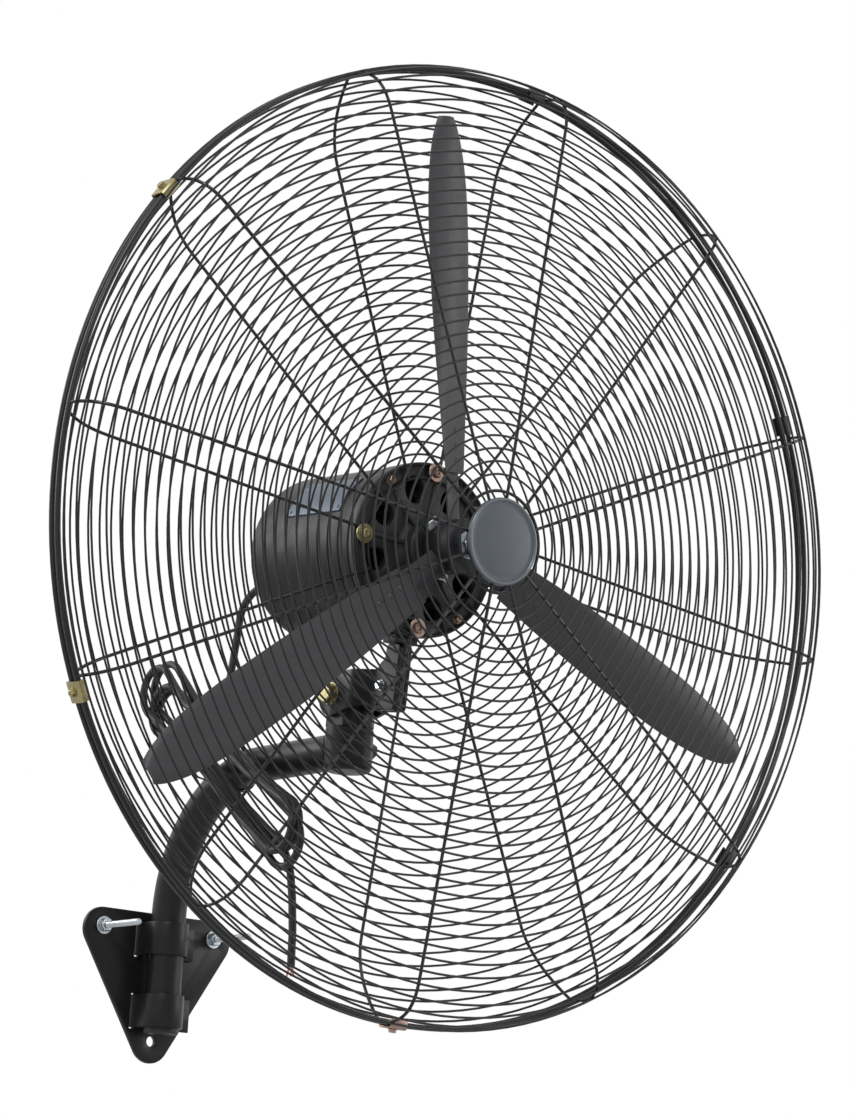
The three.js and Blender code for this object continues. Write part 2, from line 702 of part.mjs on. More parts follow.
const REAR_HUB_RINGS = [SCREW_CIRCLE + 6, SCREW_CIRCLE - 6];
const REAR_HUB_PLANE = SHIELD_FRONT + GAP + SPOKE_DEPTH / 2;
const FRONT_HUB_PLANE = FRONT_FACE + FRONT_CROWN;

function frontGuard() {
  return guard(cageLine(FRONT_FACE, FRONT_HUB_PLANE, BADGE_R - 4), [BADGE_R + 6, BADGE_R - 3]);
}

function rearGuard() {
  const inner = REAR_HUB_RINGS[1] - 2;
  return guard(cageLine(-REAR_FACE, REAR_HUB_PLANE, inner), REAR_HUB_RINGS);
}

// The blank round badge plate with a raised bead, and the boss behind it that the spokes meet.
function badge() {
  const back = FRONT_HUB_PLANE + SPOKE_DEPTH / 2 + GAP;
  const front = back + BADGE_T;
  const bossBack = back - BADGE_BOSS_T;
  return turned([[0, bossBack], [BADGE_BOSS_R, bossBack], [BADGE_BOSS_R, back], [BADGE_R, back],
    [BADGE_R, front - 1.5], [BADGE_R - 1.5, front], [BADGE_R - 3, front - 0.3],
    [BADGE_R - 4.5, front - BADGE_SINK], [0, front - BADGE_SINK + 0.5]], 24);
}

// A clip of folded strip that hooks over both rim rings, with the head of its screw.
function rimClip() {
  const inner = RIM_R + RIM_WIRE_R + GAP;
  const half = RIM_APART / 2 + RIM_WIRE_R + GAP;
  const lip = inner - RIM_WIRE_R - 4;
  const shape = new THREE.Shape();
  shape.moveTo(lip, -half - CLIP_T);
  shape.lineTo(inner + CLIP_T, -half - CLIP_T);
  shape.lineTo(inner + CLIP_T, half + CLIP_T);
  shape.lineTo(lip, half + CLIP_T);
  shape.lineTo(lip, half);
  shape.lineTo(inner, half);
  shape.lineTo(inner, -half);
  shape.lineTo(lip, -half);
  const strip = slab(shape, -CLIP_W / 2, CLIP_W / 2).rotateX(Math.PI / 2);
  const screw = hexRod(7, 0, 3.5).rotateY(Math.PI / 2).translate(inner + CLIP_T - 0.5, 0, 0);
  return join([strip, screw]);
}

function addCage(parent) {
  mesh("front_guard", frontGuard(), "wire", parent);
  mesh("rear_guard", rearGuard(), "wire", parent);
  mesh("centre_badge", badge(), "badge", parent);
  for (let i = 0; i < CLIPS; i++) {
    const angle = SPOKE_ANGLE + CLIP_BESIDE_SPOKE + i * (360 / CLIPS);
    mesh(`rim_clip_${i + 1}`, rimClip().rotateZ(rad(angle)), "gold", parent);
  }
}

// ---------------------------------------------------------------- head: screws
// Guard screws hold the rear guard's two hub rings down with wide washers; the motor bolts
// stand between those rings.
function guardScrew() {
  const washer = REAR_HUB_PLANE + RING_WIRE_R + GAP;
  return join([rod(SCREW_R, SHIELD_FRONT - SHIELD_T + 1, washer + 1, 6),
    rod(8, washer, washer + 1.5, 12), hexRod(8, washer + 1, washer + 5)]);
}

function motorBolt() {
  const seat = SHIELD_FRONT + GAP;
  return join([rod(SCREW_R, seat - SHIELD_T + 1, seat + 1, 6), hexRod(6.5, seat, seat + 3.5)]);
}

function addScrews(parent) {
  const place = (name, make, first, i) => {
    const a = rad(first) + (i / 4) * TURN;
    const x = SCREW_CIRCLE * Math.cos(a);
    const y = SCREW_CIRCLE * Math.sin(a);
    mesh(`${name}_${i + 1}`, make().rotateZ(a).translate(x, y, 0), "copper", parent);
  };
  for (let i = 0; i < 4; i++) {
    place("guard_screw", guardScrew, GUARD_SCREW_ANGLE, i);
    place("motor_bolt", motorBolt, MOTOR_BOLT_ANGLE, i);
  }
}

// ---------------------------------------------------------------- propeller
const SHAFT_BACK = REAR_BEARING_BACK + 2;
const SHAFT_FRONT = HUB_FRONT + 12;

function motorShaft() {
  const r = SHAFT_R;
  return turned([[0, SHAFT_BACK], [r - 1, SHAFT_BACK], [r, SHAFT_BACK + 1],
    [r, HUB_FRONT - 1], [r - 1.5, HUB_FRONT], [r - 1.5, SHAFT_FRONT - 1], [r - 2.5, SHAFT_FRONT],
    [0, SHAFT_FRONT]], 16);
}

function rotorCore() {
  const r = STATOR_BORE_R - AIR_GAP;
  const bore = SHAFT_R + GAP;
  const low = STATOR_MIDDLE - STATOR_LENGTH / 2;
  const high = STATOR_MIDDLE + STATOR_LENGTH / 2;
  return turned([[bore, low], [r - 10, low - 6], [r - 2, low - 6], [r, low], [r, high],
    [r - 2, high + 6], [r - 10, high + 6], [bore, high], [bore, low]], ROUND);
}

// The pitch of the blade at a radius: steep at the root, flatter towards the tip.
function pitchAt(r) {
  const share = THREE.MathUtils.clamp((r - BLADE_ROOT_R) / (BLADE_TIP_R - BLADE_ROOT_R), 0, 1);
  return rad(TIP_PITCH + (ROOT_PITCH - TIP_PITCH) * (1 - share) ** 1.6);
}

// How wide the blade is at a share of its length: a narrow root, a full middle, a round tip.
function chordAt(share) {
  const swell = BLADE_ROOT_CHORD + (BLADE_CHORD - BLADE_ROOT_CHORD) * Math.sin(
    Math.min(share / 0.55, 1) * Math.PI / 2);
  const tip = share < 0.6 ? 1 : Math.sqrt(Math.max(1 - ((share - 0.6) / 0.42) ** 2.6, 0));
  return swell * tip;
}

// A thin plate, tapered and twisted along X, flat where it lies on the arm and cambered beyond.
function bladePlate() {
  const length = BLADE_TIP_R - BLADE_ROOT_R;
  const plate = new THREE.BoxGeometry(1, 1, 1, 12, 3, 1);
  const at = plate.attributes.position;
  for (let i = 0; i < at.count; i++) {
    const share = at.getX(i) + 0.5;
    const across = at.getY(i);
    const r = BLADE_ROOT_R + share * length;
    const c = across * chordAt(share) + BLADE_LEAN * (1 - share);
    const camber = BLADE_CAMBER * THREE.MathUtils.smoothstep(r, ARM_TIP_R, 2 * ARM_TIP_R);
    const rise = camber * (1 - 4 * across * across);
    const z = rise + at.getZ(i) * BLADE_T;
    const pitch = pitchAt(r);
    at.setXYZ(i, r, c * Math.cos(pitch) - z * Math.sin(pitch),
      c * Math.sin(pitch) + z * Math.cos(pitch));
  }
  return plate;
}

const RIVETS = [72, 85, 98];
const RIVET_R = 4;

// The rivet heads sit on the blade's front, over the hub's arm.
function rivetHead(r) {
  const face = BLADE_T / 2;
  return turned([[0, 0], [RIVET_R, 0], [RIVET_R, face + 0.6], [RIVET_R - 1.6, face + 2],
    [0, face + 2]], 6).rotateX(pitchAt(r)).translate(r, 0, 0);
}

function blade(angle) {
  return join([bladePlate(), ...RIVETS.map(rivetHead)])
    .translate(0, 0, BLADE_PLANE)
    .rotateZ(angle);
}

// One arm of the hub: a flat bar that follows the blade's twist just behind it.
function hubArm(angle) {
  const length = ARM_TIP_R - HUB_R / 2;
  const arm = new THREE.BoxGeometry(length, ARM_W, ARM_T, 5, 1, 1);
  arm.translate(HUB_R / 2 + length / 2, 0, 0);
  const at = arm.attributes.position;
  const behind = BLADE_T / 2 + GAP + ARM_T / 2;
  for (let i = 0; i < at.count; i++) {
    const r = at.getX(i);
    const pitch = pitchAt(r);
    const y = at.getY(i);
    const z = at.getZ(i) - behind;
    at.setXYZ(i, r, y * Math.cos(pitch) - z * Math.sin(pitch),
      y * Math.sin(pitch) + z * Math.cos(pitch));
  }
  return arm.translate(0, 0, BLADE_PLANE).rotateZ(angle);
}

const bladeAngles = Array.from({ length: BLADES }, (_, i) =>
  rad(BLADE_ANGLE) + (i / BLADES) * TURN);

function bladeHub() {
  const boss = turned([[0, HUB_BACK], [HUB_R - 8, HUB_BACK], [HUB_R - 3, HUB_BACK + 12],
    [HUB_R, BLADE_PLANE - 12], [HUB_R, HUB_FRONT - 6], [HUB_R - 4, HUB_FRONT], [0, HUB_FRONT]], 24);
  const bore = rod(SHAFT_R + GAP, HUB_BACK - 10, HUB_FRONT + 10, 16);
  return cut(join([boss, ...bladeAngles.map(hubArm)]), [bore]);
}

function hubNut() {
  const from = HUB_FRONT + GAP;
  return cut(hexRod(18, from, from + 8), [rod(SHAFT_R - 1.5 + GAP, 0, 60, 12)]);
}

function addPropeller(parent) {
  mesh("motor_shaft", motorShaft(), "iron", parent);
  mesh("rotor_core", rotorCore(), "iron", parent);
  mesh("blade_hub", bladeHub(), "iron", parent);
  mesh("hub_nut", hubNut(), "zinc", parent);
  bladeAngles.forEach((angle, i) => mesh(`blade_${i + 1}`, blade(angle), "charcoal", parent));
}

// ---------------------------------------------------------------- supply cord
const HANK_X = PIPE_X - PIPE_R - GAP; // the hank's side that lies on the pipe

// From the motor's gland, hanging in a loose bow, to the level of the tilt bolt.
const UPPER_CORD = [
  [-33, -222, 293.1], [-33, -197.3, 295.3], [-33, -190, 295.7], [-33.8, -176, 291.5],
  [-35.4, -164.5, 280],
  [-37.6, -159.3, 264], [-41, -158, 240], [-43.6, -158, 216], [-45.6, -150.1, 196.2],
  [-47.6, -131, 188], [-48.6, -126.3, 188],
];

// On from there, along the hank to its upper turn.
const LOWER_CORD = [
  [-48.6, -125.9, 188], [-49.7, -121.1, 188], [-50, -108, 190], [-48.5, -93, 196],
  [-45.5, -78, 204], [-43.4, -62, 209],
];

// The free end, out of the hank's lower turn and straight down.
const CORD_TAIL = [
  [-30.3, -250, 46.6], [-30, -250, 30], [-29, -250, 0], [-28, -249, -30], [-27, -248, -60],
];

function cordAlong(points) {
  const curve = new THREE.CatmullRomCurve3(points.map((p) => new THREE.Vector3(...p)));
  return barAlong(curve, CORD_R, points.length * 2, CORD_SIDES);
}

// The coiled spare cord, one flat bundle with a round turn at each end.
function cordHank() {
  const along = Math.atan2(HANK_FOOT.z - HANK_TOP.z, HANK_FOOT.y - HANK_TOP.y);
  const shape = new THREE.Shape();
  shape.absarc(HANK_TOP.y, HANK_TOP.z, HANK_R, along + Math.PI / 2, along + Math.PI * 1.5, false);
  shape.absarc(HANK_FOOT.y, HANK_FOOT.z, HANK_R, along - Math.PI / 2, along + Math.PI / 2, false);
  return slab(shape, HANK_X - HANK_T, HANK_X, 7).rotateY(Math.PI / 2).rotateX(Math.PI / 2);
}

// A band round the hank and the pipe, drawn where both pass through one upright plane.
function tieLine(grow) {
  const share = (TIE_Y - HANK_TOP.y) / (HANK_FOOT.y - HANK_TOP.y);
  const hankZ = HANK_TOP.z + share * (HANK_FOOT.z - HANK_TOP.z);
  const slope = Math.hypot(HANK_FOOT.z - HANK_TOP.z, HANK_FOOT.y - HANK_TOP.y)
    / Math.abs(HANK_FOOT.y - HANK_TOP.y);
  const hankHalf = HANK_R * slope + TIE_W + grow;
  const bendY = PIPE_Y - BEND_R;
  const pipeZ = RUN_Z - BEND_R + Math.sqrt(BEND_R ** 2 - (TIE_Y - bendY) ** 2);
  const r = PIPE_R + 2 + grow;
  const line = new THREE.Shape();
  line.moveTo(HANK_X - HANK_T - grow, hankZ - hankHalf);
  line.lineTo(PIPE_X, pipeZ - r);
  line.absarc(PIPE_X, pipeZ, r, -Math.PI / 2, rad(65), false);
  line.lineTo(HANK_X, hankZ + hankHalf);
  line.lineTo(HANK_X - HANK_T - grow, hankZ + hankHalf);
  line.closePath();
  return line;
}

function cordTie() {
  const outer = slab(tieLine(GAP + TIE_T), -TIE_W / 2, TIE_W / 2, 6);
  const inner = slab(tieLine(GAP), -TIE_W, TIE_W, 6);
  return cut(outer, [inner]).rotateX(Math.PI / 2).translate(0, TIE_Y, 0);
}

function addCord(parent) {
  mesh("cord_upper", cordAlong(UPPER_CORD), "rubber", parent);
  mesh("cord_lower", cordAlong(LOWER_CORD), "rubber", parent);
  mesh("cord_hank", cordHank(), "rubber", parent);
  mesh("cord_tie", cordTie(), "rubber", parent);
  mesh("cord_tail", cordAlong(CORD_TAIL), "rubber", parent);
}

// ---------------------------------------------------------------- the whole fan
const wallBracket = new THREE.Group();
fan.add(wallBracket);
addWallBracket(wallBracket);
addArm(fan);
addPivot(fan);
const head = new THREE.Group();
head.position.set(PIPE_X, PIVOT_Y, PIVOT_Z);
head.rotation.x = Math.PI / 2 + REST_TILT;
fan.add(head);
const cage = new THREE.Group();
cage.position.set(0, HEAD_UP, HEAD_FORWARD);
head.add(cage);
addTiltBracket(cage);
addMotor(cage);
addCage(cage);
addScrews(cage);
addPropeller(cage);
addCord(fan);

export default fan;
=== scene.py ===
"""Looks of the wall mounted fan: wire guards, propeller, motor, bracket, arm, cord and finishes.

The scene is in metres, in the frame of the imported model: the fan faces -Y and hangs on the
wall plane y = 0. Shapes are written in millimetres and brought to metres when they are placed.
"""

import json
import math

import bmesh
import bpy
from mathutils import Matrix, Vector


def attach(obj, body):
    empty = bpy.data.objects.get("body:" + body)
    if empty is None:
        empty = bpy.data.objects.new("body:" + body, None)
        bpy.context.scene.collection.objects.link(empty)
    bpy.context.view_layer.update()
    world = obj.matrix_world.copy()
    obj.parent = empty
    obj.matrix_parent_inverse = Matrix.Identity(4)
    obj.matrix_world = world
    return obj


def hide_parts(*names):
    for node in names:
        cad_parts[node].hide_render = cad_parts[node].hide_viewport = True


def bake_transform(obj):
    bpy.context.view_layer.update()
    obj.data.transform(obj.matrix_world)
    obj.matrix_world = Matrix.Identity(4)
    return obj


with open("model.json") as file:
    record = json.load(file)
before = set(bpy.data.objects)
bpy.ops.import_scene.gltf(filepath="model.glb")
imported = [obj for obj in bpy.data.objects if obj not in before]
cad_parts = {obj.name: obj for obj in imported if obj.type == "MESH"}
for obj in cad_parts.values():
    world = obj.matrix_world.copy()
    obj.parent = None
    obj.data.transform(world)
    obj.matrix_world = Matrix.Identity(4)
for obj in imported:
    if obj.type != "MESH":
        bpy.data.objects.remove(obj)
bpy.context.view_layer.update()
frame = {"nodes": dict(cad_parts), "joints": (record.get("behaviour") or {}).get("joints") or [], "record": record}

MM = 0.001
MILLIMETRES = Matrix.Scale(MM, 4)
TURN = 2 * math.pi

# ---------------------------------------------------------------- camera of the photograph
PHOTO_HEIGHT = 1120
FOCAL_PIXELS = 3000
SENSOR = 36
CAMERA_PLACE = Vector((-1.5558, -2.3252, -0.3028))
CAMERA_RIGHT = Vector((0.7732, -0.6321, 0.0509))
CAMERA_UP = Vector((-0.1867, -0.1502, 0.9709))


def add_camera():
    data = bpy.data.cameras.new("camera")
    data.sensor_width = SENSOR
    data.lens = FOCAL_PIXELS * SENSOR / PHOTO_HEIGHT
    camera = bpy.data.objects.new("camera", data)
    bpy.context.scene.collection.objects.link(camera)
    back = CAMERA_RIGHT.cross(CAMERA_UP)
    axes = Matrix((CAMERA_RIGHT, CAMERA_UP, back)).transposed()
    camera.matrix_world = Matrix.Translation(CAMERA_PLACE) @ axes.to_4x4()
    bpy.context.scene.camera = camera


# ---------------------------------------------------------------- sizes
# Lengths are in millimetres and angles in degrees.
GAP = 0.3

PLATE_T = 5
HOLE_SPAN = 122
HOLE_DROP = 100
PLATE_CORNER_R = 20
PLATE_EDGE_UP = 17
FIX_HOLE_R = 4.6
STRAP_T = 3
STRAP_H = 30
STRAP_Z = (-8.5, -74)
SLOT_HALF = (2.2, 16)
STRAP_BOLT_R = 3
EAR_BOLT_X = 27
EAR_END_X = 38
STUD_R = 3
STUD_OUT = 59
ANCHOR_WASHER_R = 8.2
ANCHOR_WASHER_T = 1.6
ANCHOR_NUT_T = 5.5

PIPE_R = 16
PIPE_X = -5
PIPE_Y = -27
PIPE_FOOT = -92
PIPE_CAP_T = 2.3
RUN_Z = 142
BEND_R = 130
PIVOT_Y = -285
SOCKET_R = 21
SOCKET_FOOT = 122
SOCKET_TOP = 160
STEM_R = 16.5
PIVOT_Z = 188
PIVOT_HEAD_UP = 19
SOCKET_FLOOR = SOCKET_FOOT + 6
SET_SCREW_R = 4
TILT_BOLT_R = 5
TILT_WASHER_R = 10
TILT_HEXAGON = 16

SHEET = 4
CHEEK_GAP = 34
LEG_GAP = 6
CHEEK_END_R = 19.5
CHEEK_BEND_FROM = 23
CHEEK_BEND_TO = 43
CHEEK_FRONT_DOWN = 14
CHEEK_MIDDLE_DOWN = 11
CHEEK_MIDDLE_UP = 31
CROSS_BOLT_UP = 8
CROSS_BOLT_BACK = 20
CROSS_BOLT_R = 3
FOOT_W = 24
FOOT_DEPTH = 7
LEG_LENGTH = 18
HEAD_UP = 125.2
HEAD_FORWARD = 134.6

RIM_R = 402
RIM_WIRE_R = 2.4
RIM_APART = 8
RING_WIRE_R = 1.0
RING_PITCH = 10.8
SPOKE_R = 1.4
SPOKES = 12
SPOKE_ANGLE = 25.2
CORNER_R = 36
REAR_CORNER_LEAN = 34
FRONT_FACE = 39
FRONT_CROWN = 6
REAR_FACE = 47
REAR_HUB_PLANE = -53
REAR_HUB_RINGS = (74, 62)
FRONT_HUB_RINGS = (42.7, 33.7)
BADGE_R = 36.7
BADGE_FRONT = 51.5
BADGE_T = 4.5
BADGE_BEAD_R = 1.7
CLIPS = 6
CLIP_W = 17
CLIP_T = 1.6
CLIP_BESIDE_SPOKE = 1.7

SHIELD_FRONT = -55
SHIELD_T = 10
SHIELD_R = 75.5
BOSS_R = 24
BOSS_UP = 13
VENTS = 8
VENT_R = 10
VENT_CIRCLE = 52
VENT_ANGLE = 18.5
MOTOR_R = 74
MOTOR_BACK = -225
MOTOR_BEND_R = 28
MOTOR_SHEET = 3.5
# Where the plate on the motor's side lies; its bluish brightness there is a painted sheen, a reflection of light.
SHEEN_PLATE_Z = (-162, -86)
SHEEN_PLATE_ANGLES = (132, 162)
SCREW_CIRCLE = 68
SCREW_R = 2.5
SCREW_END = SHIELD_FRONT - 8
GUARD_SCREW_ANGLE = 89
MOTOR_BOLT_ANGLE = 40
GLAND = (-28, -26)
GLAND_TIP = -245.3
GLAND_RIBS = 5
GLAND_RIB_PITCH = 2.6

BLADES = 3
BLADE_ANGLE = 99.8
BLADE_TIP_R = 366
BLADE_ROOT_R = 62
BLADE_CHORD = 53
BLADE_ROOT_CHORD = 37
BLADE_LEAN = 3
BLADE_T = 2.2
BLADE_CAMBER = 4
BLADE_PLANE = -9
ROOT_PITCH = 27
TIP_PITCH = 9
ARM_TIP_R = 104
ARM_W = 24
ARM_T = 5
RIVETS = (72, 85, 98)
RIVET_R = 3.2
RIVET_H = 1
HUB_R = 23
HUB_BACK = -39
HUB_FRONT = 5
HUB_BORE_R = 7
HUB_SCREW_ANGLE = 140
HUB_SCREW_CIRCLE = 19
HUB_SCREW_PLANE = -25

CORD_R = 3.5
HANK_FOLD_R = 22.5
HANK_STEP = 12
HANK_TOP = Vector((-50, 209))
HANK_FOOT = Vector((-238, 70))
TIE_Y = -125
TIE_W = 4
TIE_T = 1.3
TIE_REACH = 26
HANK_END_X = -25.2
CORE_R = 0.9
CORE_CIRCLE = 1.6
CORE_OUT = 8

BRACKET_FRONT = SHIELD_FRONT - SHIELD_T - GAP
FOOT_SEAT = -MOTOR_R - FOOT_DEPTH

# The cage's own frame, in millimetres: Z is the propeller's axis towards the front, Y is up.
spin = next(j for j in frame["joints"] if j["name"] == "blade_spin")
forward = Vector(spin["axis"]).normalized()
across = Vector((1, 0, 0))
cage_axes = Matrix((across, forward.cross(across), forward)).transposed()
CAGE = Matrix.Translation(spin["pos_m"]) @ cage_axes.to_4x4() @ MILLIMETRES

OUT_OF_WALL = MILLIMETRES @ Matrix.Rotation(math.pi / 2, 4, "X")
ALONG_X = Matrix.Rotation(math.pi / 2, 4, "Y")


def piece(name, bm, place, material, body, replaces=(), sharp=35):
    """Makes an object of a mesh, which rides on a body and stands for CAD nodes."""
    bm.transform(place)
    bmesh.ops.recalc_face_normals(bm, faces=bm.faces)
    for face in bm.faces:
        face.smooth = True
    for edge in bm.edges:
        edge.smooth = edge.is_manifold and edge.calc_face_angle() < math.radians(sharp)
    mesh = bpy.data.meshes.new(name)
    bm.to_mesh(mesh)
    bm.free()
    mesh.materials.append(material)
    made = bpy.data.objects.new(name, mesh)
    bpy.context.scene.collection.objects.link(made)
    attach(made, body)
    # Blender adds a number to a name that a material of the CAD model already has.
    if replaces:
        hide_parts(*replaces)
    return made


def skin(bm, rows, closed_rows, closed_columns):
    """Joins rows of vertices with faces, and closes them along or across the rows as asked."""
    last_row = len(rows) if closed_rows else len(rows) - 1
    for i in range(last_row):
        a, b = rows[i], rows[(i + 1) % len(rows)]
        last = len(a) if closed_columns else len(a) - 1
        for j in range(last):
            k = (j + 1) % len(a)
            bm.faces.new((a[j], b[j], b[k], a[k]))


def tube(bm, points, radius, sides=10, closed=False):
    """A round bar along points. Its frame is carried along without twist."""
    points = [Vector(p) for p in points]
    count = len(points)
    normal = None
    rows = []
    for i, p in enumerate(points):
        before = points[(i - 1) % count] if closed or i else p
        after = points[(i + 1) % count] if closed or i < count - 1 else p
        along = (after - before).normalized()
        if normal is None:
            normal = along.orthogonal().normalized()
        normal = (normal - along * normal.dot(along)).normalized()
        side = along.cross(normal)
        r = radius(i / (count - 1)) if callable(radius) else radius
        turns = [TURN * j / sides for j in range(sides)]
        rows.append([bm.verts.new(p + (normal * math.cos(a) + side * math.sin(a)) * r)
                     for a in turns])
    skin(bm, rows, closed, True)
    if not closed:
        bm.faces.new(rows[0])
        bm.faces.new(rows[-1])


def ring(bm, radius, height, wire, sides=128, wire_sides=8):
    """A wire ring about Z."""
    rows = []
    for i in range(sides):
        a = TURN * i / sides
        out = Vector((math.cos(a), math.sin(a), 0))
        rows.append([])
        for j in range(wire_sides):
            b = TURN * j / wire_sides
            rows[-1].append(bm.verts.new(
                out * (radius + wire * math.cos(b)) + Vector((0, 0, height + wire * math.sin(b)))))
    skin(bm, rows, True, True)


def lathe(bm, profile, sides=64, turn=Matrix.Identity(4)):
    """A profile of (radius, height) turned about Z. A radius of 0 closes it on the axis."""
    rows = []
    for r, z in profile:
        if r == 0:
            rows.append([bm.verts.new(turn @ Vector((0, 0, z)))])
            continue
        angles = [TURN * i / sides for i in range(sides)]
        rows.append([bm.verts.new(turn @ Vector((r * math.cos(a), r * math.sin(a), z)))
                     for a in angles])
    for a, b in zip(rows, rows[1:]):
        for i in range(sides):
            corners = [a[i % len(a)], a[(i + 1) % len(a)], b[(i + 1) % len(b)], b[i % len(b)]]
            distinct = list(dict.fromkeys(corners))
            if len(distinct) > 2:
                bm.faces.new(distinct)


def slab(bm, outline, holes, low, high, edge, turn=Matrix.Identity(4)):
    """A flat sheet between two heights with rounded edges, from an outline and its holes."""
    part = bmesh.new()
    edges = []
    for points in (outline, *holes):
        verts = [part.verts.new((x, y, low)) for x, y in points]
        edges += [part.edges.new(pair) for pair in zip(verts, verts[1:] + verts[:1])]
    filled = bmesh.ops.triangle_fill(part, edges=edges, use_beauty=True, use_dissolve=False)
    faces = [g for g in filled["geom"] if isinstance(g, bmesh.types.BMFace)]
    grown = bmesh.ops.extrude_face_region(part, geom=faces)
    top = [g for g in grown["geom"] if isinstance(g, bmesh.types.BMVert)]
    bmesh.ops.translate(part, verts=top, vec=(0, 0, high - low))
    bmesh.ops.recalc_face_normals(part, faces=part.faces)
    corners = [e for e in part.edges if e.calc_face_angle(0) > math.radians(50)]
    bmesh.ops.bevel(part, geom=corners, offset=edge, segments=2, profile=0.5, affect="EDGES",
                    clamp_overlap=True)
    add_mesh(bm, part, turn)


def add_mesh(bm, part, turn):
    """Adds one mesh to another, turned by a matrix."""
    part.transform(turn)
    part.verts.index_update()
    verts = [bm.verts.new(v.co) for v in part.verts]
    for face in part.faces:
        bm.faces.new([verts[v.index] for v in face.verts])
    part.free()


def hexagon(bm, across_flats, low, high, turn=Matrix.Identity(4), bore=0.0):
    """A hexagon head or nut, with the corners of its top turned off."""
    r = across_flats / math.sqrt(3)
    chamfer = 0.12 * r
    profile = [(bore, low), (r, low), (r, high - chamfer), (r * 0.88, high), (bore, high)]
    if bore:
        profile.append((bore, low))
    lathe(bm, profile, 6, turn)


def washer(bm, bore, radius, low, high, turn=Matrix.Identity(4), edge=0.3):
    lathe(bm, [(bore, low), (radius - edge, low), (radius, low + edge), (radius, high - edge),
               (radius - edge, high), (bore, high), (bore, low)], 40, turn)


def threaded(bm, radius, low, high, pitch=1.0, turn=Matrix.Identity(4)):
    """A stud with thread grooves and a broken end."""
    count = int((high - low - 1) / pitch)
    profile = [(0, low)]
    for i in range(count):
        z = low + i * pitch
        profile += [(radius - 0.45, z), (radius, z + pitch * 0.4), (radius, z + pitch * 0.6)]
    top = low + count * pitch
    lathe(bm, [*profile, (radius - 0.45, top), (radius - 0.9, high), (0, high)], 20, turn)


def arc(x, y, radius, start, end, steps=16):
    """Points of an arc, its angles in degrees."""
    angles = [math.radians(start + (end - start) * i / steps) for i in range(steps + 1)]
    return [(x + radius * math.cos(a), y + radius * math.sin(a)) for a in angles]


def circle(x, y, radius, steps):
    return arc(x, y, radius, 0, 360, steps)[:-1]


def rectangle(x, y, half_x, half_y):
    return [(x - half_x, y - half_y), (x + half_x, y - half_y), (x + half_x, y + half_y),
            (x - half_x, y + half_y)]


def rounded(points, radius, steps=5):
    """A polygon with its corners rounded off."""
    made = []
    count = len(points)
    for i, point in enumerate(points):
        corner = Vector(point)
        before, after = Vector(points[i - 1]), Vector(points[(i + 1) % count])
        reach = min(radius, (before - corner).length / 2.01, (after - corner).length / 2.01)
        start = corner + (before - corner).normalized() * reach
        end = corner + (after - corner).normalized() * reach
        for j in range(steps + 1):
            t = j / steps
            made.append(tuple(start * (1 - t) ** 2 + corner * (2 * t * (1 - t)) + end * t ** 2))
    return made


def smooth_line(points, steps):
    """Points along a smooth line through the given ones."""
    p = [Vector(q) for q in points]
    p = [2 * p[0] - p[1], *p, 2 * p[-1] - p[-2]]
    line = []
    for a, b, c, d in zip(p, p[1:], p[2:], p[3:]):
        for i in range(steps):
            t = i / steps
            line.append(0.5 * (2 * b + (c - a) * t + (2 * a - 5 * b + 4 * c - d) * t ** 2
                               + (3 * b - 3 * c + d - a) * t ** 3))
    return [*line, p[-2]]


def spaced(points, step):
    """The same line with points no more than about a step apart."""
    even = [points[0]]
    for a, b in zip(points, points[1:]):
        count = max(1, round((b - a).length / step))
        even += [a.lerp(b, (i + 1) / count) for i in range(count)]
    return even


def around(angle, radius=0.0):
    """Turns about the cage's axis and moves out from it. The angle is in degrees."""
    return Matrix.Rotation(math.radians(angle), 4, "Z") @ Matrix.Translation((radius, 0, 0))


# ---------------------------------------------------------------- finishes
def finish(name, colour, roughness, metallic=0.0, mottle=None, grain=900, bump=0.04,
           specular=0.5):
    """A finish with a fine surface grain, uneven gloss and, if asked, a second mottled colour."""
    made = bpy.data.materials.new(name)
    made.use_nodes = True
    nodes, links = made.node_tree.nodes, made.node_tree.links
    shader = nodes["Principled BSDF"]
    shader.inputs["Base Color"].default_value = (*colour, 1)
    shader.inputs["Metallic"].default_value = metallic
    shader.inputs["Specular IOR Level"].default_value = specular
    places = nodes.new("ShaderNodeTexCoord").outputs["Object"]

    def noise(scale, detail):
        node = nodes.new("ShaderNodeTexNoise")
        node.inputs["Scale"].default_value = scale
        node.inputs["Detail"].default_value = detail
        links.new(places, node.inputs["Vector"])
        return node.outputs["Fac"]

    gloss = nodes.new("ShaderNodeMapRange")
    gloss.inputs["From Min"].default_value = 0.3
    gloss.inputs["From Max"].default_value = 0.7
    gloss.inputs["To Min"].default_value = roughness[0]
    gloss.inputs["To Max"].default_value = roughness[1]
    links.new(noise(grain / 15, 3), gloss.inputs["Value"])
    links.new(gloss.outputs["Result"], shader.inputs["Roughness"])
    if mottle:
        mix = nodes.new("ShaderNodeMix")
        mix.data_type = "RGBA"
        mix.inputs["A"].default_value = (*colour, 1)
        mix.inputs["B"].default_value = (*mottle, 1)
        links.new(noise(grain / 8, 4), mix.inputs["Factor"])
        links.new(mix.outputs["Result"], shader.inputs["Base Color"])
    relief = nodes.new("ShaderNodeBump")
    relief.inputs["Strength"].default_value = bump
    relief.inputs["Distance"].default_value = MM
    links.new(noise(grain, 2), relief.inputs["Height"])
    links.new(relief.outputs["Normal"], shader.inputs["Normal"])
    return made


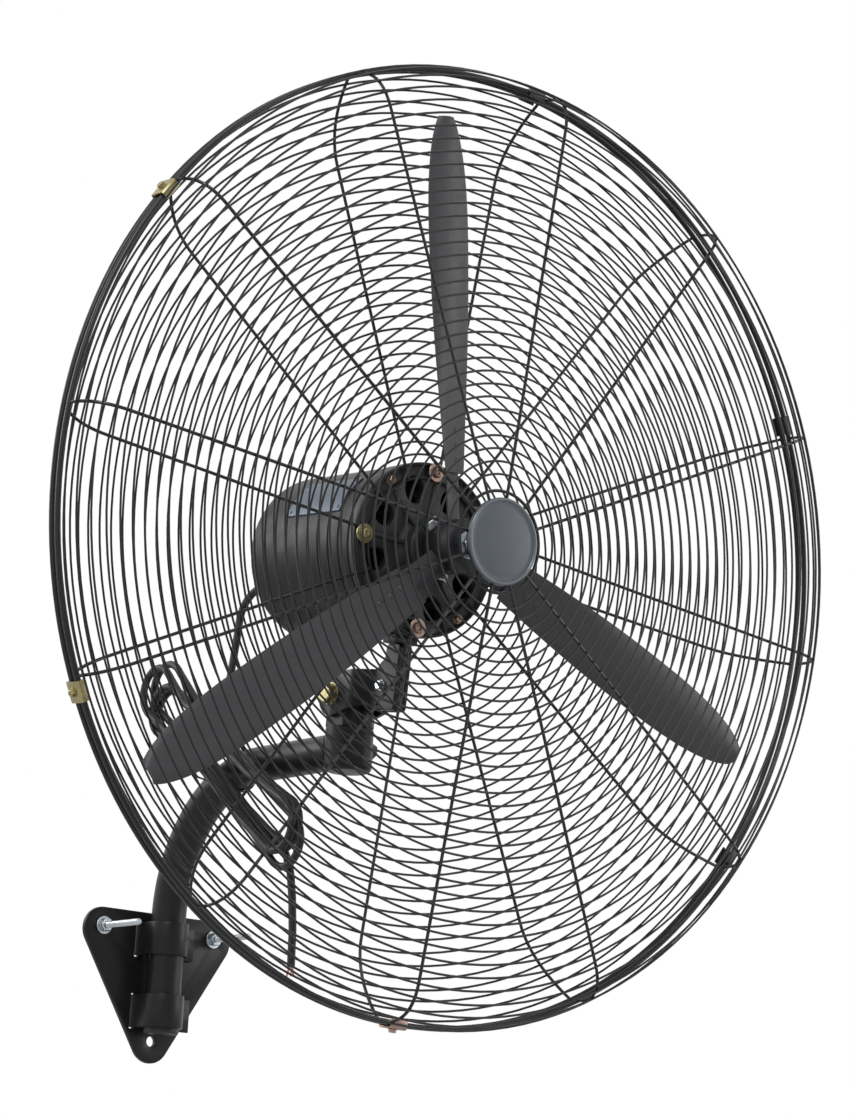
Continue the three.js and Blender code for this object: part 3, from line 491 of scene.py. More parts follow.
BLACK = finish("black_powder_coat", (0.009, 0.009, 0.01), (0.28, 0.42),
               mottle=(0.014, 0.014, 0.015), specular=0.22)
WIRE = finish("black_wire_coat", (0.008, 0.008, 0.009), (0.28, 0.42), grain=1500,
              mottle=(0.012, 0.012, 0.013), specular=0.35)
MOTOR = finish("dark_grey_enamel", (0.007, 0.007, 0.008), (0.36, 0.5),
               mottle=(0.011, 0.011, 0.013), specular=0.2)
CAST = finish("cast_grey_enamel", (0.02, 0.02, 0.021), (0.42, 0.56), grain=700, bump=0.12,
              mottle=(0.028, 0.028, 0.029), specular=0.35)
BLADE = finish("charcoal_paint", (0.05, 0.05, 0.054), (0.36, 0.5), metallic=0.2,
               mottle=(0.058, 0.058, 0.063), specular=0.4)
ZINC = finish("bright_zinc", (0.56, 0.6, 0.62), (0.2, 0.36), metallic=1.0,
              mottle=(0.42, 0.46, 0.5), grain=3000)
GOLD = finish("yellow_zinc", (0.44, 0.37, 0.19), (0.28, 0.44), metallic=1.0,
              mottle=(0.22, 0.21, 0.11), grain=3000)
COPPER = finish("coppery_zinc", (0.38, 0.26, 0.21), (0.28, 0.44), metallic=1.0,
                mottle=(0.26, 0.19, 0.16), grain=3000)
IRON = finish("dark_steel", (0.07, 0.07, 0.075), (0.4, 0.55), metallic=0.8,
              mottle=(0.05, 0.05, 0.055))
BADGE = finish("badge_paint", (0.05, 0.061, 0.074), (0.3, 0.42), mottle=(0.058, 0.07, 0.085))
BEAD = finish("badge_bead", (0.13, 0.145, 0.16), (0.25, 0.38), metallic=0.5,
              mottle=(0.11, 0.12, 0.135))
RUBBER = finish("black_rubber", (0.009, 0.009, 0.01), (0.42, 0.58), grain=1200, bump=0.06,
                mottle=(0.013, 0.013, 0.013), specular=0.35)
# Bluish metal for the motor's side plate: its tint and brightness are a painted sheen, a reflection of light on
# the motor.
PLATE_SHEEN = finish("sheen_tinted_aluminium", (0.11, 0.14, 0.18), (0.34, 0.46), metallic=0.5, grain=2000,
               mottle=(0.085, 0.11, 0.145))
STRANDS = finish("copper_strands", (0.6, 0.33, 0.2), (0.3, 0.45), metallic=1.0,
                 mottle=(0.5, 0.28, 0.18), grain=3000)

# ---------------------------------------------------------------- supply cord
# Three stretches: a bow out of the gland, a hanging run to the arm, and the tied hank with the
# free end. Points are (x, y, z) in the model's frame. The hank is drawn as (y, z) in its plane.
BOW_END = Vector((-41, -155.4, 240))
RUN_END = Vector((-50, -118, 188))
HANK_START = ((RUN_END.y, RUN_END.z), (-108, 190.5), (-97, 196))
HANK_ALONG = (HANK_TOP - HANK_FOOT).normalized()
HANK_OVER = Vector((-HANK_ALONG.y, HANK_ALONG.x))
HANK_AT_TIE = HANK_TOP.lerp(HANK_FOOT, (TIE_Y - HANK_TOP.x) / (HANK_FOOT.x - HANK_TOP.x))
TOP_FOLDS = ((6, 2), (-10, -8), (12, 5), (-2, -14))
FOOT_FOLDS = ((0, 6), (12, -2), (-8, 4))
TAIL = ((-222, 64), (-231.7, 53), (-240, 36), (-244.5, 14), (-247.5, -14), (-248, -46))


def bow_route():
    """Out of the gland, over in a quarter turn and down."""
    turn = [(-33 - 5 * i / 6, y, z) for i, (y, z) in enumerate(arc(-183.4, 268.5, 28, 90, 0, 6))]
    return [(-33, -203, 294.7), (-33, -193, 295.6), *turn, (-39.4, -155.4, 254), BOW_END]


def run_route():
    """Down beside the hank and round towards its upper end."""
    quarter = arc(-127.4, 216, 28, 180, 270, 6)
    turn = [(-44 - 5.6 * i / 6, y, z) for i, (y, z) in enumerate(quarter)]
    return [BOW_END, (-42.4, -155.4, 228), *turn, RUN_END]


def hank_fold(centre, way, reach, shift):
    """Half a turn at one end of the hank, set off along it and across it."""
    middle = centre + HANK_ALONG * way * reach + HANK_OVER * shift
    return [middle + (HANK_ALONG * way * math.cos(a) + HANK_OVER * way * math.sin(a)) * HANK_FOLD_R
            for a in [math.radians(90 - 30 * i) for i in range(7)]]


def hank_route():
    """Turns that lie side by side, drawn in at the tie and spread at their folds, and the tail."""
    waist = HANK_AT_TIE.lerp(HANK_FOOT, 0.5)
    flat = [Vector(p) for p in HANK_START]
    for i, fold in enumerate(TOP_FOLDS):
        flat += hank_fold(HANK_TOP, 1, *fold)
        flat += [HANK_AT_TIE - HANK_OVER * 14, waist - HANK_OVER * 17]
        if i < len(FOOT_FOLDS):
            flat += hank_fold(HANK_FOOT, -1, *FOOT_FOLDS[i])
            flat += [waist + HANK_OVER * 17, HANK_AT_TIE + HANK_OVER * 14]
    even = spaced(flat + [Vector(p) for p in TAIL], HANK_STEP)
    walked = [0.0]
    for a, b in zip(even, even[1:]):
        walked.append(walked[-1] + (b - a).length)
    drift = HANK_END_X - RUN_END.x
    return [(RUN_END.x + drift * w / walked[-1], p.x, p.y) for p, w in zip(even, walked)]


def cord_piece(name, points, body, replaces, steps=6):
    """A stretch of cord along points."""
    route = smooth_line(points, steps)
    bm = bmesh.new()
    tube(bm, route, CORD_R, 12)
    made = piece(name, bm, MILLIMETRES, RUBBER, body, replaces)
    return made


def cord_cores(end):
    """Three bare conductors that spread out of the cord's cut end."""
    bm = bmesh.new()
    x, y, z = end
    for i in range(3):
        out = Vector((math.cos(TURN * i / 3), math.sin(TURN * i / 3), 0))
        core = Vector((x, y, z)) + out * CORE_CIRCLE
        tip = core + out * 2 - Vector((0, 0, CORE_OUT))
        tube(bm, [core + Vector((0, 0, 3)), core, core.lerp(tip, 0.5), tip], CORE_R, 8)
    return piece("cord_cores", bm, MILLIMETRES, STRANDS, "arm")


def add_cord():
    bow = cord_piece("cord_bow", bow_route(), "head", ["cord_upper"])
    bow.parent = None
    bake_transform(bow)
    run = cord_piece("cord_run", run_route(), "pivot", ["cord_lower"])
    run.parent = None
    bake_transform(run)
    route = hank_route()
    cores = cord_cores(route[-1])
    cord_piece("cord_hank_and_tail", route, "arm", ["cord_hank", "cord_tail"],
               2)


def add_tie():
    """The band round the hank and the pipe, with its lock."""
    pipe_z = RUN_Z - BEND_R + math.sqrt(BEND_R ** 2 - (TIE_Y - PIPE_Y + BEND_R) ** 2)
    low, high = HANK_AT_TIE.y - TIE_REACH, HANK_AT_TIE.y + TIE_REACH
    outer_x = RUN_END.x - CORD_R - 1
    loop = rounded([(outer_x, low), *arc(PIPE_X, pipe_z, PIPE_R + 1.4, -80, 70, 12), (-24, high),
                    (outer_x, high)], 5, 4)
    centre = Vector((sum(x for x, z in loop) / len(loop), sum(z for x, z in loop) / len(loop)))
    bm = bmesh.new()
    rows = []
    for x, z in loop:
        out = (Vector((x, z)) - centre).normalized() * TIE_T
        corners = [(x, -1, z), (x + out.x, -1, z + out.y), (x + out.x, 1, z + out.y), (x, 1, z)]
        rows.append([bm.verts.new((cx, TIE_Y + side * TIE_W / 2, cz)) for cx, side, cz in corners])
    skin(bm, rows, True, True)
    lock = Matrix.Translation((outer_x - 2.4, TIE_Y, HANK_AT_TIE.y + 6))
    slab(bm, rounded(rectangle(0, 0, 2.4, 3.4), 0.8), [], -3.4, 3.4, 0.5,
         lock @ Matrix.Rotation(math.pi / 2, 4, "X"))
    piece("hank_tie", bm, MILLIMETRES, RUBBER, "arm", ["cord_tie"])


# ---------------------------------------------------------------- cage
def guard_line(face, hub_plane, inner_r):
    """The bent line of a spoke as (radius, height), from the rim to the middle."""
    steps = 10
    lean = REAR_CORNER_LEAN if face < 0 else 0
    start = Vector((RIM_R, math.copysign(RIM_APART / 2, face)))
    bend = Vector((RIM_R - lean, face))
    end = bend - Vector((CORNER_R, 0))
    line = []
    for i in range(steps + 1):
        t = i / steps
        line.append(start * (1 - t) ** 2 + bend * (2 * t * (1 - t)) + end * t ** 2)
    inner = Vector((inner_r, hub_plane))
    return line + [end.lerp(inner, i / steps) for i in range(1, steps + 1)]


def along_line(line, pitch):
    """Points every pitch along a line, each with the unit direction there."""
    found, walked, due = [], 0.0, pitch
    for a, b in zip(line, line[1:]):
        step = (b - a).length
        while walked + step >= due:
            found.append((a.lerp(b, (due - walked) / step), (b - a).normalized()))
            due += pitch
        walked += step
    return found


def guard(face, hub_plane, hub_rings):
    """A wire guard. Its rings lie on the outside of the spokes, which end on the last hub ring."""
    bm = bmesh.new()
    ring(bm, RIM_R, math.copysign(RIM_APART / 2, face), RIM_WIRE_R, 200, 12)
    line = guard_line(face, hub_plane, hub_rings[-1])
    # Less than the two radii, so that each ring is sunk a little into the spokes, as by a weld.
    shift = (SPOKE_R + RING_WIRE_R) * 0.9 * math.copysign(1, face)
    innermost = max(hub_rings) + RING_PITCH * 0.6
    for p, direction in along_line(line, RING_PITCH):
        r = p.x + direction.y * shift
        if r > innermost:
            ring(bm, r, p.y - direction.x * shift, RING_WIRE_R, 144 if r > 200 else 96, 6)
    for r in hub_rings:
        ring(bm, r, hub_plane, SPOKE_R, 72, 8)
    for i in range(SPOKES):
        out = around(SPOKE_ANGLE + 360 * i / SPOKES)
        tube(bm, [out @ Vector((p.x, 0, p.y)) for p in line], SPOKE_R, 8)
    return bm


def clip_mesh():
    """A folded strip over both rim wires, held by a small screw and its nut."""
    inner = RIM_R + RIM_WIRE_R + GAP
    half = RIM_APART / 2 + RIM_WIRE_R + GAP
    lip = RIM_R - 3.5
    outline = [(lip, -half - CLIP_T), *arc(inner - 1, -half + 1, 1 + CLIP_T, -90, 0, 4),
               *arc(inner - 1, half - 1, 1 + CLIP_T, 0, 90, 4), (lip, half + CLIP_T), (lip, half),
               *arc(inner - 1, half - 1, 1, 90, 0, 4), *arc(inner - 1, -half + 1, 1, 0, -90, 4),
               (lip, -half)]
    bm = bmesh.new()
    slab(bm, outline, [], -CLIP_W / 2, CLIP_W / 2, 0.3, Matrix.Rotation(math.pi / 2, 4, "X"))
    screw = Matrix.Translation((inner + CLIP_T, 0, 0)) @ ALONG_X
    washer(bm, 1.5, 4, 0, 0.7, screw, 0.2)
    hexagon(bm, 5.5, 0.7, 3.1, screw)
    return bm


def add_cage():
    front = guard(FRONT_FACE, FRONT_FACE + FRONT_CROWN, FRONT_HUB_RINGS)
    piece("front_guard_wires", front, CAGE, WIRE, "head", ["front_guard"])
    rear = guard(-REAR_FACE, REAR_HUB_PLANE, REAR_HUB_RINGS)
    piece("rear_guard_wires", rear, CAGE, WIRE, "head", ["rear_guard"])
    tones = (IRON, IRON, GOLD, GOLD, COPPER, IRON)
    for i, tone in enumerate(tones):
        turn = around(SPOKE_ANGLE + CLIP_BESIDE_SPOKE + 360 * i / CLIPS)
        piece(f"clip_{i + 1}", clip_mesh(), CAGE @ turn, tone, "head", [f"rim_clip_{i + 1}"])


def add_badge():
    """A flat disc with a bead round its edge and a groove inside the bead."""
    bm = bmesh.new()
    front, back = BADGE_FRONT, BADGE_FRONT - BADGE_T
    lathe(bm, [(0, back - 5), (28, back - 5), (28, back), (BADGE_R - 0.5, back),
               (BADGE_R, back + 0.5), (BADGE_R, front - 2), (BADGE_R - 3.4, front - 1.2),
               (BADGE_R - 5.5, front - 1.8), (BADGE_R - 7, front - 1.6), (0, front - 0.8)], 96)
    piece("badge_disc", bm, CAGE, BADGE, "head", ["centre_badge"], sharp=50)
    bm = bmesh.new()
    ring(bm, BADGE_R - BADGE_BEAD_R, front - BADGE_BEAD_R, BADGE_BEAD_R, 120, 16)
    piece("badge_rim", bm, CAGE, BEAD, "head")


# ---------------------------------------------------------------- propeller
def share_of(r):
    return min(max((r - BLADE_ROOT_R) / (BLADE_TIP_R - BLADE_ROOT_R), 0), 1)


def pitch_at(r):
    return math.radians(TIP_PITCH + (ROOT_PITCH - TIP_PITCH) * (1 - share_of(r)) ** 1.6)


def chord_at(share):
    swell = math.sin(min(share / 0.55, 1) * math.pi / 2)
    tip = 1 if share < 0.6 else math.sqrt(max(1 - ((share - 0.6) / 0.42) ** 2.6, 0))
    return (BLADE_ROOT_CHORD + (BLADE_CHORD - BLADE_ROOT_CHORD) * swell) * tip


def on_blade(r, c, z):
    """A point of a blade from its radius, its place along the chord and its height."""
    pitch = pitch_at(r)
    return Vector((r, c * math.cos(pitch) - z * math.sin(pitch),
                   c * math.sin(pitch) + z * math.cos(pitch)))


def twisted(bm, stations, columns, thickness, section):
    """A thin plate along the blade; a section gives radius, chord, lean and camber at a share."""
    rows = []
    for i in range(stations + 1):
        r, chord, lean, camber, height = section(i / stations)
        loop = []
        for face in (1, -1):
            for j in range(columns + 1):
                v = (j / columns - 0.5) * face
                edge = min(1.0, (0.5 - abs(v)) * chord / thickness)
                z = camber * (1 - 4 * v * v) + face * thickness / 2 * (0.25 + 0.75 * edge)
                loop.append(bm.verts.new(on_blade(r, v * chord + lean, z + height)))
        rows.append(loop)
    skin(bm, rows, False, True)
    bm.faces.new(rows[0])
    bm.faces.new(rows[-1])


def blade_section(t):
    share = math.sin(t * math.pi / 2) ** 1.3
    r = BLADE_ROOT_R + share * (BLADE_TIP_R - BLADE_ROOT_R)
    rise = min(max((r - ARM_TIP_R) / ARM_TIP_R, 0), 1)
    camber = BLADE_CAMBER * rise * rise * (3 - 2 * rise)
    return r, chord_at(share), BLADE_LEAN * (1 - share), camber, 0


def arm_section(t):
    r = HUB_R / 2 + (ARM_TIP_R - HUB_R / 2) * math.sin(t * math.pi / 2)
    near_tip = min(max((r - ARM_TIP_R + ARM_W / 2) / (ARM_W / 2), 0), 1)
    chord = ARM_W * math.sqrt(max(1 - near_tip ** 2, 0.02))
    return r, chord, 0, 0, -(BLADE_T / 2 + GAP + ARM_T / 2)


def blade_turn(i):
    return Matrix.Translation((0, 0, BLADE_PLANE)) @ around(BLADE_ANGLE + 360 * i / BLADES)


def add_blades():
    """Three blades, each with its rivets' heads."""
    low_dome = [(RIVET_R * math.cos(a), RIVET_H * math.sin(a)) for a in (0.3, 0.7, 1.1)]
    for i in range(BLADES):
        bm = bmesh.new()
        twisted(bm, 56, 14, BLADE_T, blade_section)
        for r in RIVETS:
            head = (Matrix.Translation((r, 0, 0)) @ Matrix.Rotation(pitch_at(r), 4, "X")
                    @ Matrix.Translation((0, 0, BLADE_T / 2)))
            lathe(bm, [(RIVET_R, -0.2), *low_dome, (0, RIVET_H)], 24, head)
        piece(f"propeller_blade_{i + 1}", bm, CAGE @ blade_turn(i), BLADE, "rotor",
              [f"blade_{i + 1}"])


def add_hub():
    """The hub with its three arms, its bright set screws and the nut on the shaft."""
    hub = bmesh.new()
    for i in range(BLADES):
        part = bmesh.new()
        twisted(part, 24, 8, ARM_T, arm_section)
        add_mesh(hub, part, blade_turn(i))
    lathe(hub, [(HUB_BORE_R, HUB_BACK), (14, HUB_BACK), (15, HUB_BACK + 1), (20, HUB_BACK + 12),
                (HUB_R, BLADE_PLANE - 12), (HUB_R, HUB_FRONT - 6), (HUB_R - 1, HUB_FRONT - 2),
                (HUB_R - 4, HUB_FRONT), (HUB_BORE_R, HUB_FRONT)], 64)
    piece("hub_casting", hub, CAGE, IRON, "rotor", ["blade_hub"])
    bright = bmesh.new()
    for i in range(BLADES):
        out = (Matrix.Translation((0, 0, HUB_SCREW_PLANE))
               @ around(HUB_SCREW_ANGLE + 360 * i / BLADES, HUB_SCREW_CIRCLE) @ ALONG_X)
        threaded(bright, SET_SCREW_R, 0, 8, 1.25, out)
        hexagon(bright, 13, 4.5, 11, out)
    piece("hub_set_screws", bright, CAGE, ZINC, "rotor")
    nut = bmesh.new()
    washer(nut, HUB_BORE_R, 12, HUB_FRONT, HUB_FRONT + 1.2)
    hexagon(nut, 18, HUB_FRONT + 1.2, HUB_FRONT + 9)
    threaded(nut, 5.5, HUB_FRONT + 6, HUB_FRONT + 12, 1.2)
    piece("hub_lock_nut", nut, CAGE, ZINC, "rotor", ["hub_nut"])


# ---------------------------------------------------------------- motor
def motor_can():
    """A drawn can with a round shoulder at the back and a swaged band at its open front."""
    bm = bmesh.new()
    front, back = BRACKET_FRONT, MOTOR_BACK
    inner = MOTOR_R - MOTOR_SHEET
    turned = arc(MOTOR_R - MOTOR_BEND_R, back + MOTOR_BEND_R, MOTOR_BEND_R, -90, 0, 12)
    lathe(bm, [(0, back), (20, back), (22, back - 0.01), *turned,
               (MOTOR_R, front - 14), (MOTOR_R + 0.9, front - 13), (MOTOR_R + 0.9, front - 1),
               (MOTOR_R, front), (inner, front), (inner, back + 26), (MOTOR_R - 20, back + 5),
               (0, back + 5)], 96)
    return bm


def sheen_plate():
    """A curved plate on the motor's side with four small pins; its bluish tint is a painted sheen of reflected
    light.
    """
    bm = bmesh.new()
    low, high = SHEEN_PLATE_Z
    left, right = SHEEN_PLATE_ANGLES
    rows = []
    for i in range(25):
        a = math.radians(left + (right - left) * (i / 24))
        section = [(0.1, low), (1.0, low), (1.3, low + 0.4), (1.3, high - 0.4), (1.0, high),
                   (0.1, high)]
        rows.append([bm.verts.new(((MOTOR_R + up) * math.cos(a), (MOTOR_R + up) * math.sin(a), z))
                     for up, z in section])
    skin(bm, rows, False, True)
    bm.faces.new(rows[0])
    bm.faces.new(rows[-1])
    for a in (left + 3, right - 3):
        for z in (low + 4, high - 4):
            pin = around(a, MOTOR_R + 1.1) @ Matrix.Translation((0, 0, z)) @ ALONG_X
            lathe(bm, [(1.8, 0), (1.6, 0.6), (0.9, 1), (0, 1.1)], 16, pin)
    return bm


def shield_mesh():
    """The end shield: a disc with oval windows, raised webs between them and a boss."""
    windows = []
    for i in range(VENTS):
        turn = around(VENT_ANGLE + 360 * i / VENTS, VENT_CIRCLE)
        oval = [(VENT_R * 1.15 * math.cos(a), VENT_R * math.sin(a))
                for a in [TURN * k / 28 for k in range(28)]]
        windows.append([tuple((turn @ Vector((x, y, 0))).xy) for x, y in oval])
    bm = bmesh.new()
    slab(bm, circle(0, 0, SHIELD_R, 120), [circle(0, 0, BOSS_R - 6, 48), *windows],
         SHIELD_FRONT - SHIELD_T, SHIELD_FRONT, 1.4)
    boss = SHIELD_FRONT + BOSS_UP
    lathe(bm, [(BOSS_R - 5, SHIELD_FRONT - 6), (BOSS_R + 9, SHIELD_FRONT - 1),
               (BOSS_R + 3, SHIELD_FRONT + 0.6), (BOSS_R + 0.8, SHIELD_FRONT + 2.5),
               (BOSS_R, SHIELD_FRONT + 5), (BOSS_R, boss - 3), (BOSS_R - 0.9, boss - 0.9),
               (BOSS_R - 3, boss), (11, boss), (10, boss - 1.5), (8.2, boss - 1.5),
               (8.2, boss - 8)], 72)
    for i in range(VENTS):
        turn = (around(VENT_ANGLE + 180 / VENTS + 360 * i / VENTS)
                @ Matrix.Rotation(math.pi / 2, 4, "X"))
        web = [(BOSS_R - 1, SHIELD_FRONT - 1), (BOSS_R - 1, SHIELD_FRONT + 7),
               (BOSS_R + 14, SHIELD_FRONT + 1.8), (SCREW_CIRCLE - 10, SHIELD_FRONT + 1.2),
               (SCREW_CIRCLE - 8, SHIELD_FRONT - 1)]
        slab(bm, web, [], -1.6, 1.6, 0.7, turn)
    return bm


def add_motor():
    piece("motor_can", motor_can(), CAGE, MOTOR, "head", ["motor_housing"])
    # A plate whose bluish tint is a painted sheen of light reflected on the motor's side.
    piece("motor_sheen_plate", sheen_plate(), CAGE, PLATE_SHEEN, "head")
    piece("motor_end_shield", shield_mesh(), CAGE, CAST, "head", ["motor_shield"], sharp=45)


def add_gland():
    """The cord's grommet in the motor's back, with a ribbed and tapered neck."""
    bm = bmesh.new()
    turn = Matrix.Translation((*GLAND, 0)) @ Matrix.Rotation(math.pi, 4, "X")
    foot = -MOTOR_BACK + GAP
    ribs = []
    for i in range(GLAND_RIBS):
        z = foot + 6 + i * GLAND_RIB_PITCH
        r = 8.2 - i * 0.5
        ribs += [(r, z), (r, z + 1.4), (r - 1.1, z + 1.7), (r - 1.2, z + 2.3)]
    lathe(bm, [(0, foot - 20), (10, foot - 20), (10, foot - 1), (11, foot), (11, foot + 3.4),
               (10.2, foot + 4.2), (8.6, foot + 4.6), *ribs, (4.8, -GLAND_TIP),
               (CORD_R, -GLAND_TIP), (CORD_R, foot - 2)], 32, turn)
    piece("strain_relief", bm, CAGE, RUBBER, "head", ["cord_gland"])


def shank(bm, radius, low, high, sides, turn):
    """The smooth part of a screw, closed at its lower end."""
    lathe(bm, [(0, low), (radius, low), (radius, high)], sides, turn)


def add_screws():
    """Four guard screws on wide washers, and the motor's own four bolts between them."""
    seat = REAR_HUB_PLANE + SPOKE_R + 0.1
    for i in range(4):
        bm = bmesh.new()
        turn = around(GUARD_SCREW_ANGLE + 90 * i, SCREW_CIRCLE)
        shank(bm, SCREW_R, SCREW_END, seat + 1, 16, turn)
        washer(bm, 2.6, 8.4, seat, seat + 1.4, turn)
        lathe(bm, [(2.6, seat + 1.4), (5, seat + 1.5), (5, seat + 2.6), (4.3, seat + 3.8),
                   (2.4, seat + 4.4), (1.2, seat + 2.6), (0, seat + 2.6)], 24, turn)
        piece(f"guard_fixing_{i + 1}", bm, CAGE, GOLD if i == 1 else COPPER, "head",
              [f"guard_screw_{i + 1}"])
        bm = bmesh.new()
        turn = around(MOTOR_BOLT_ANGLE + 90 * i, SCREW_CIRCLE)
        shank(bm, SCREW_R, SCREW_END, SHIELD_FRONT + 1, 16, turn)
        washer(bm, 2.6, 4.6, SHIELD_FRONT + 0.05, SHIELD_FRONT + 1, turn)
        hexagon(bm, 6.5, SHIELD_FRONT + 1, SHIELD_FRONT + 4.2, turn)
        piece(f"shield_bolt_{i + 1}", bm, CAGE, COPPER, "head", [f"motor_bolt_{i + 1}"])


# ---------------------------------------------------------------- tilt bracket
def cheek_shift(behind):
    """How far the cheek's inner face stands from the middle, at a distance behind the rims."""
    start = HEAD_FORWARD - CHEEK_BEND_TO
    t = min(max((behind - start) / (CHEEK_BEND_TO - CHEEK_BEND_FROM), 0), 1)
    t = t * t * (3 - 2 * t)
    return (LEG_GAP + (CHEEK_GAP - LEG_GAP) * t) / 2


def bracket_cheek(side):
    """A sheet cheek with a round end at the tilt bolt, drawn in to the motor's foot."""
    front = -BRACKET_FRONT
    middle = HEAD_FORWARD - CHEEK_BEND_TO
    outline = [*rounded([(middle + 6, -HEAD_UP - CHEEK_MIDDLE_DOWN - 2),
                         (front, -HEAD_UP - CHEEK_FRONT_DOWN), (front, FOOT_SEAT - GAP),
                         (front + LEG_LENGTH, FOOT_SEAT - GAP),
                         (front + LEG_LENGTH, -HEAD_UP + CHEEK_MIDDLE_UP),
                         (front + LEG_LENGTH + 8, -HEAD_UP + CHEEK_MIDDLE_UP - 4)], 5),
               *arc(HEAD_FORWARD, -HEAD_UP, CHEEK_END_R, 100, -90, 24)]
    part = bmesh.new()
    slab(part, outline, [], 0, SHEET, 0.7)
    for i in range(1, 40):
        geom = [*part.verts, *part.edges, *part.faces]
        bmesh.ops.bisect_plane(part, geom=geom, dist=0.0005, plane_co=(front + i * 2, 0, 0),
                               plane_no=(1, 0, 0))
    for v in part.verts:
        behind, y, depth = v.co
        v.co = (side * (cheek_shift(behind) + depth), y, -behind)
    return part


def add_cheeks():
    for side, name in ((-1, "left"), (1, "right")):
        piece(f"cheek_{name}", bracket_cheek(side), CAGE, BLACK, "head", [f"tilt_cheek_{name}"])


def add_foot():
    """A cast leg between the cheeks and the pad that the motor sits on."""
    bm = bmesh.new()
    front, back = BRACKET_FRONT, BRACKET_FRONT - LEG_LENGTH
    low, middle = -HEAD_UP - CHEEK_MIDDLE_DOWN, -HEAD_UP + CHEEK_MIDDLE_UP - GAP
    leg_back = -HEAD_FORWARD + CHEEK_BEND_TO
    leg = [(front, low), (front, FOOT_SEAT + 1), (back, FOOT_SEAT + 1), (back, middle),
           (leg_back, middle), (leg_back, low)]
    half = LEG_GAP / 2 - GAP
    slab(bm, rounded([(-z, y) for z, y in leg], 2), [], -half, half, 0.5, ALONG_X)
    seat = MOTOR_R + GAP
    reach = math.degrees(math.asin(FOOT_W / 2 / seat))
    pad = [(-FOOT_W / 2, FOOT_SEAT), (FOOT_W / 2, FOOT_SEAT),
           *arc(0, 0, seat, -90 + reach, -90 - reach, 12)]
    slab(bm, pad, [], back, front, 0.8)
    piece("cast_foot", bm, CAGE, CAST, "head", ["motor_foot"])


def add_cross_bolt():
    bm = bmesh.new()
    face, r = LEG_GAP / 2 + SHEET, CROSS_BOLT_R
    turn = (Matrix.Translation((0, -HEAD_UP + CROSS_BOLT_UP, BRACKET_FRONT - CROSS_BOLT_BACK))
            @ ALONG_X)
    lathe(bm, [(r, -face - 1), (r, face + 1)], 24, turn)
    for flip in (0, math.pi):
        end = turn @ Matrix.Rotation(flip, 4, "X")
        washer(bm, r, 4.8, face, face + 0.8, end)
        hexagon(bm, 7.5, face + 0.8, face + 4, end)
    piece("cross_bolt", bm, CAGE, ZINC, "head", ["bracket_cross_bolt"])


# ---------------------------------------------------------------- pivot and arm
AT_PIVOT = MILLIMETRES @ Matrix.Translation((PIPE_X, PIVOT_Y, 0))


def add_pivot():
    """The round head on its stem, flattened on both sides for the cheeks."""
    top, foot, seat = PIVOT_Z + PIVOT_HEAD_UP, SOCKET_FLOOR + GAP, SOCKET_TOP + GAP
    bm = bmesh.new()
    lathe(bm, [(0, foot), (STEM_R - 2, foot), (STEM_R, foot + 2), (STEM_R, seat),
               (SOCKET_R - 0.8, seat), (SOCKET_R, seat + 0.8), (SOCKET_R, top - 4),
               *arc(SOCKET_R - 4, top - 4, 4, 0, 90, 5), (0, top)], 64)
    flat = CHEEK_GAP / 2 - GAP
    for v in bm.verts:
        v.co.x = min(max(v.co.x, -flat), flat)
    piece("pivot_block", bm, AT_PIVOT, BLACK, "pivot", ["pivot_head"])


def add_tilt_bolt():
    """The bolt's head and washers on the left cheek, and its nut on the right one."""
    face, r = CHEEK_GAP / 2 + SHEET + GAP, TILT_BOLT_R
    bore = r + GAP
    bm = bmesh.new()
    up = Matrix.Translation((0, 0, PIVOT_Z))
    left, right = up @ Matrix.Rotation(-math.pi / 2, 4, "Y"), up @ ALONG_X
    washer(bm, bore, TILT_WASHER_R, face, face + 2, left)
    washer(bm, bore, 8.2, face + 2, face + 3.4, left)
    hexagon(bm, TILT_HEXAGON, face + 3.4, face + 9.4, left)
    lathe(bm, [(r, -face - 4), (r, face + 4)], 24, left)
    piece("tilt_pivot_bolt", bm, AT_PIVOT, GOLD, "pivot", ["tilt_bolt"])
    bm = bmesh.new()
    washer(bm, bore, TILT_WASHER_R, face, face + 2, right)
    hexagon(bm, TILT_HEXAGON, face + 2, face + 9, right)
    threaded(bm, r, face + 4, face + 12, 1.25, right)
    piece("tilt_pivot_nut", bm, AT_PIVOT, GOLD, "pivot", ["tilt_nut"])


def add_pipe():
    """The bent pipe with the weld bead round its end, where it meets the upright socket."""
    bend = arc(PIPE_Y - BEND_R, RUN_Z - BEND_R, BEND_R, 0, 90, 32)
    line = [(PIPE_Y, PIPE_FOOT), (PIPE_Y, PIPE_FOOT / 2), *bend, (PIVOT_Y + 14, RUN_Z)]
    bm = bmesh.new()
    tube(bm, [(PIPE_X, y, z) for y, z in line], PIPE_R, 48)
    seam = []
    for x, z in circle(0, 0, PIPE_R, 96):
        seam.append((PIPE_X + x, PIVOT_Y + math.sqrt(SOCKET_R ** 2 - x * x) + 0.6, RUN_Z + z))
    tube(bm, seam, lambda t: 2 + 0.3 * math.sin(t * TURN * 24), 8, closed=True)
    piece("bent_pipe", bm, MILLIMETRES, BLACK, "arm", ["arm_tube"])


def add_pipe_cap():
    bm = bmesh.new()
    lathe(bm, [(0, PIPE_FOOT - PIPE_CAP_T),
               *arc(PIPE_R - 1.2, PIPE_FOOT - PIPE_CAP_T + 1.2, 1.2, -90, 0, 4),
               (PIPE_R, PIPE_FOOT), (0, PIPE_FOOT)], 48, Matrix.Translation((PIPE_X, PIPE_Y, 0)))
    piece("pipe_cap", bm, MILLIMETRES, RUBBER, "arm", ["arm_end_plug"])


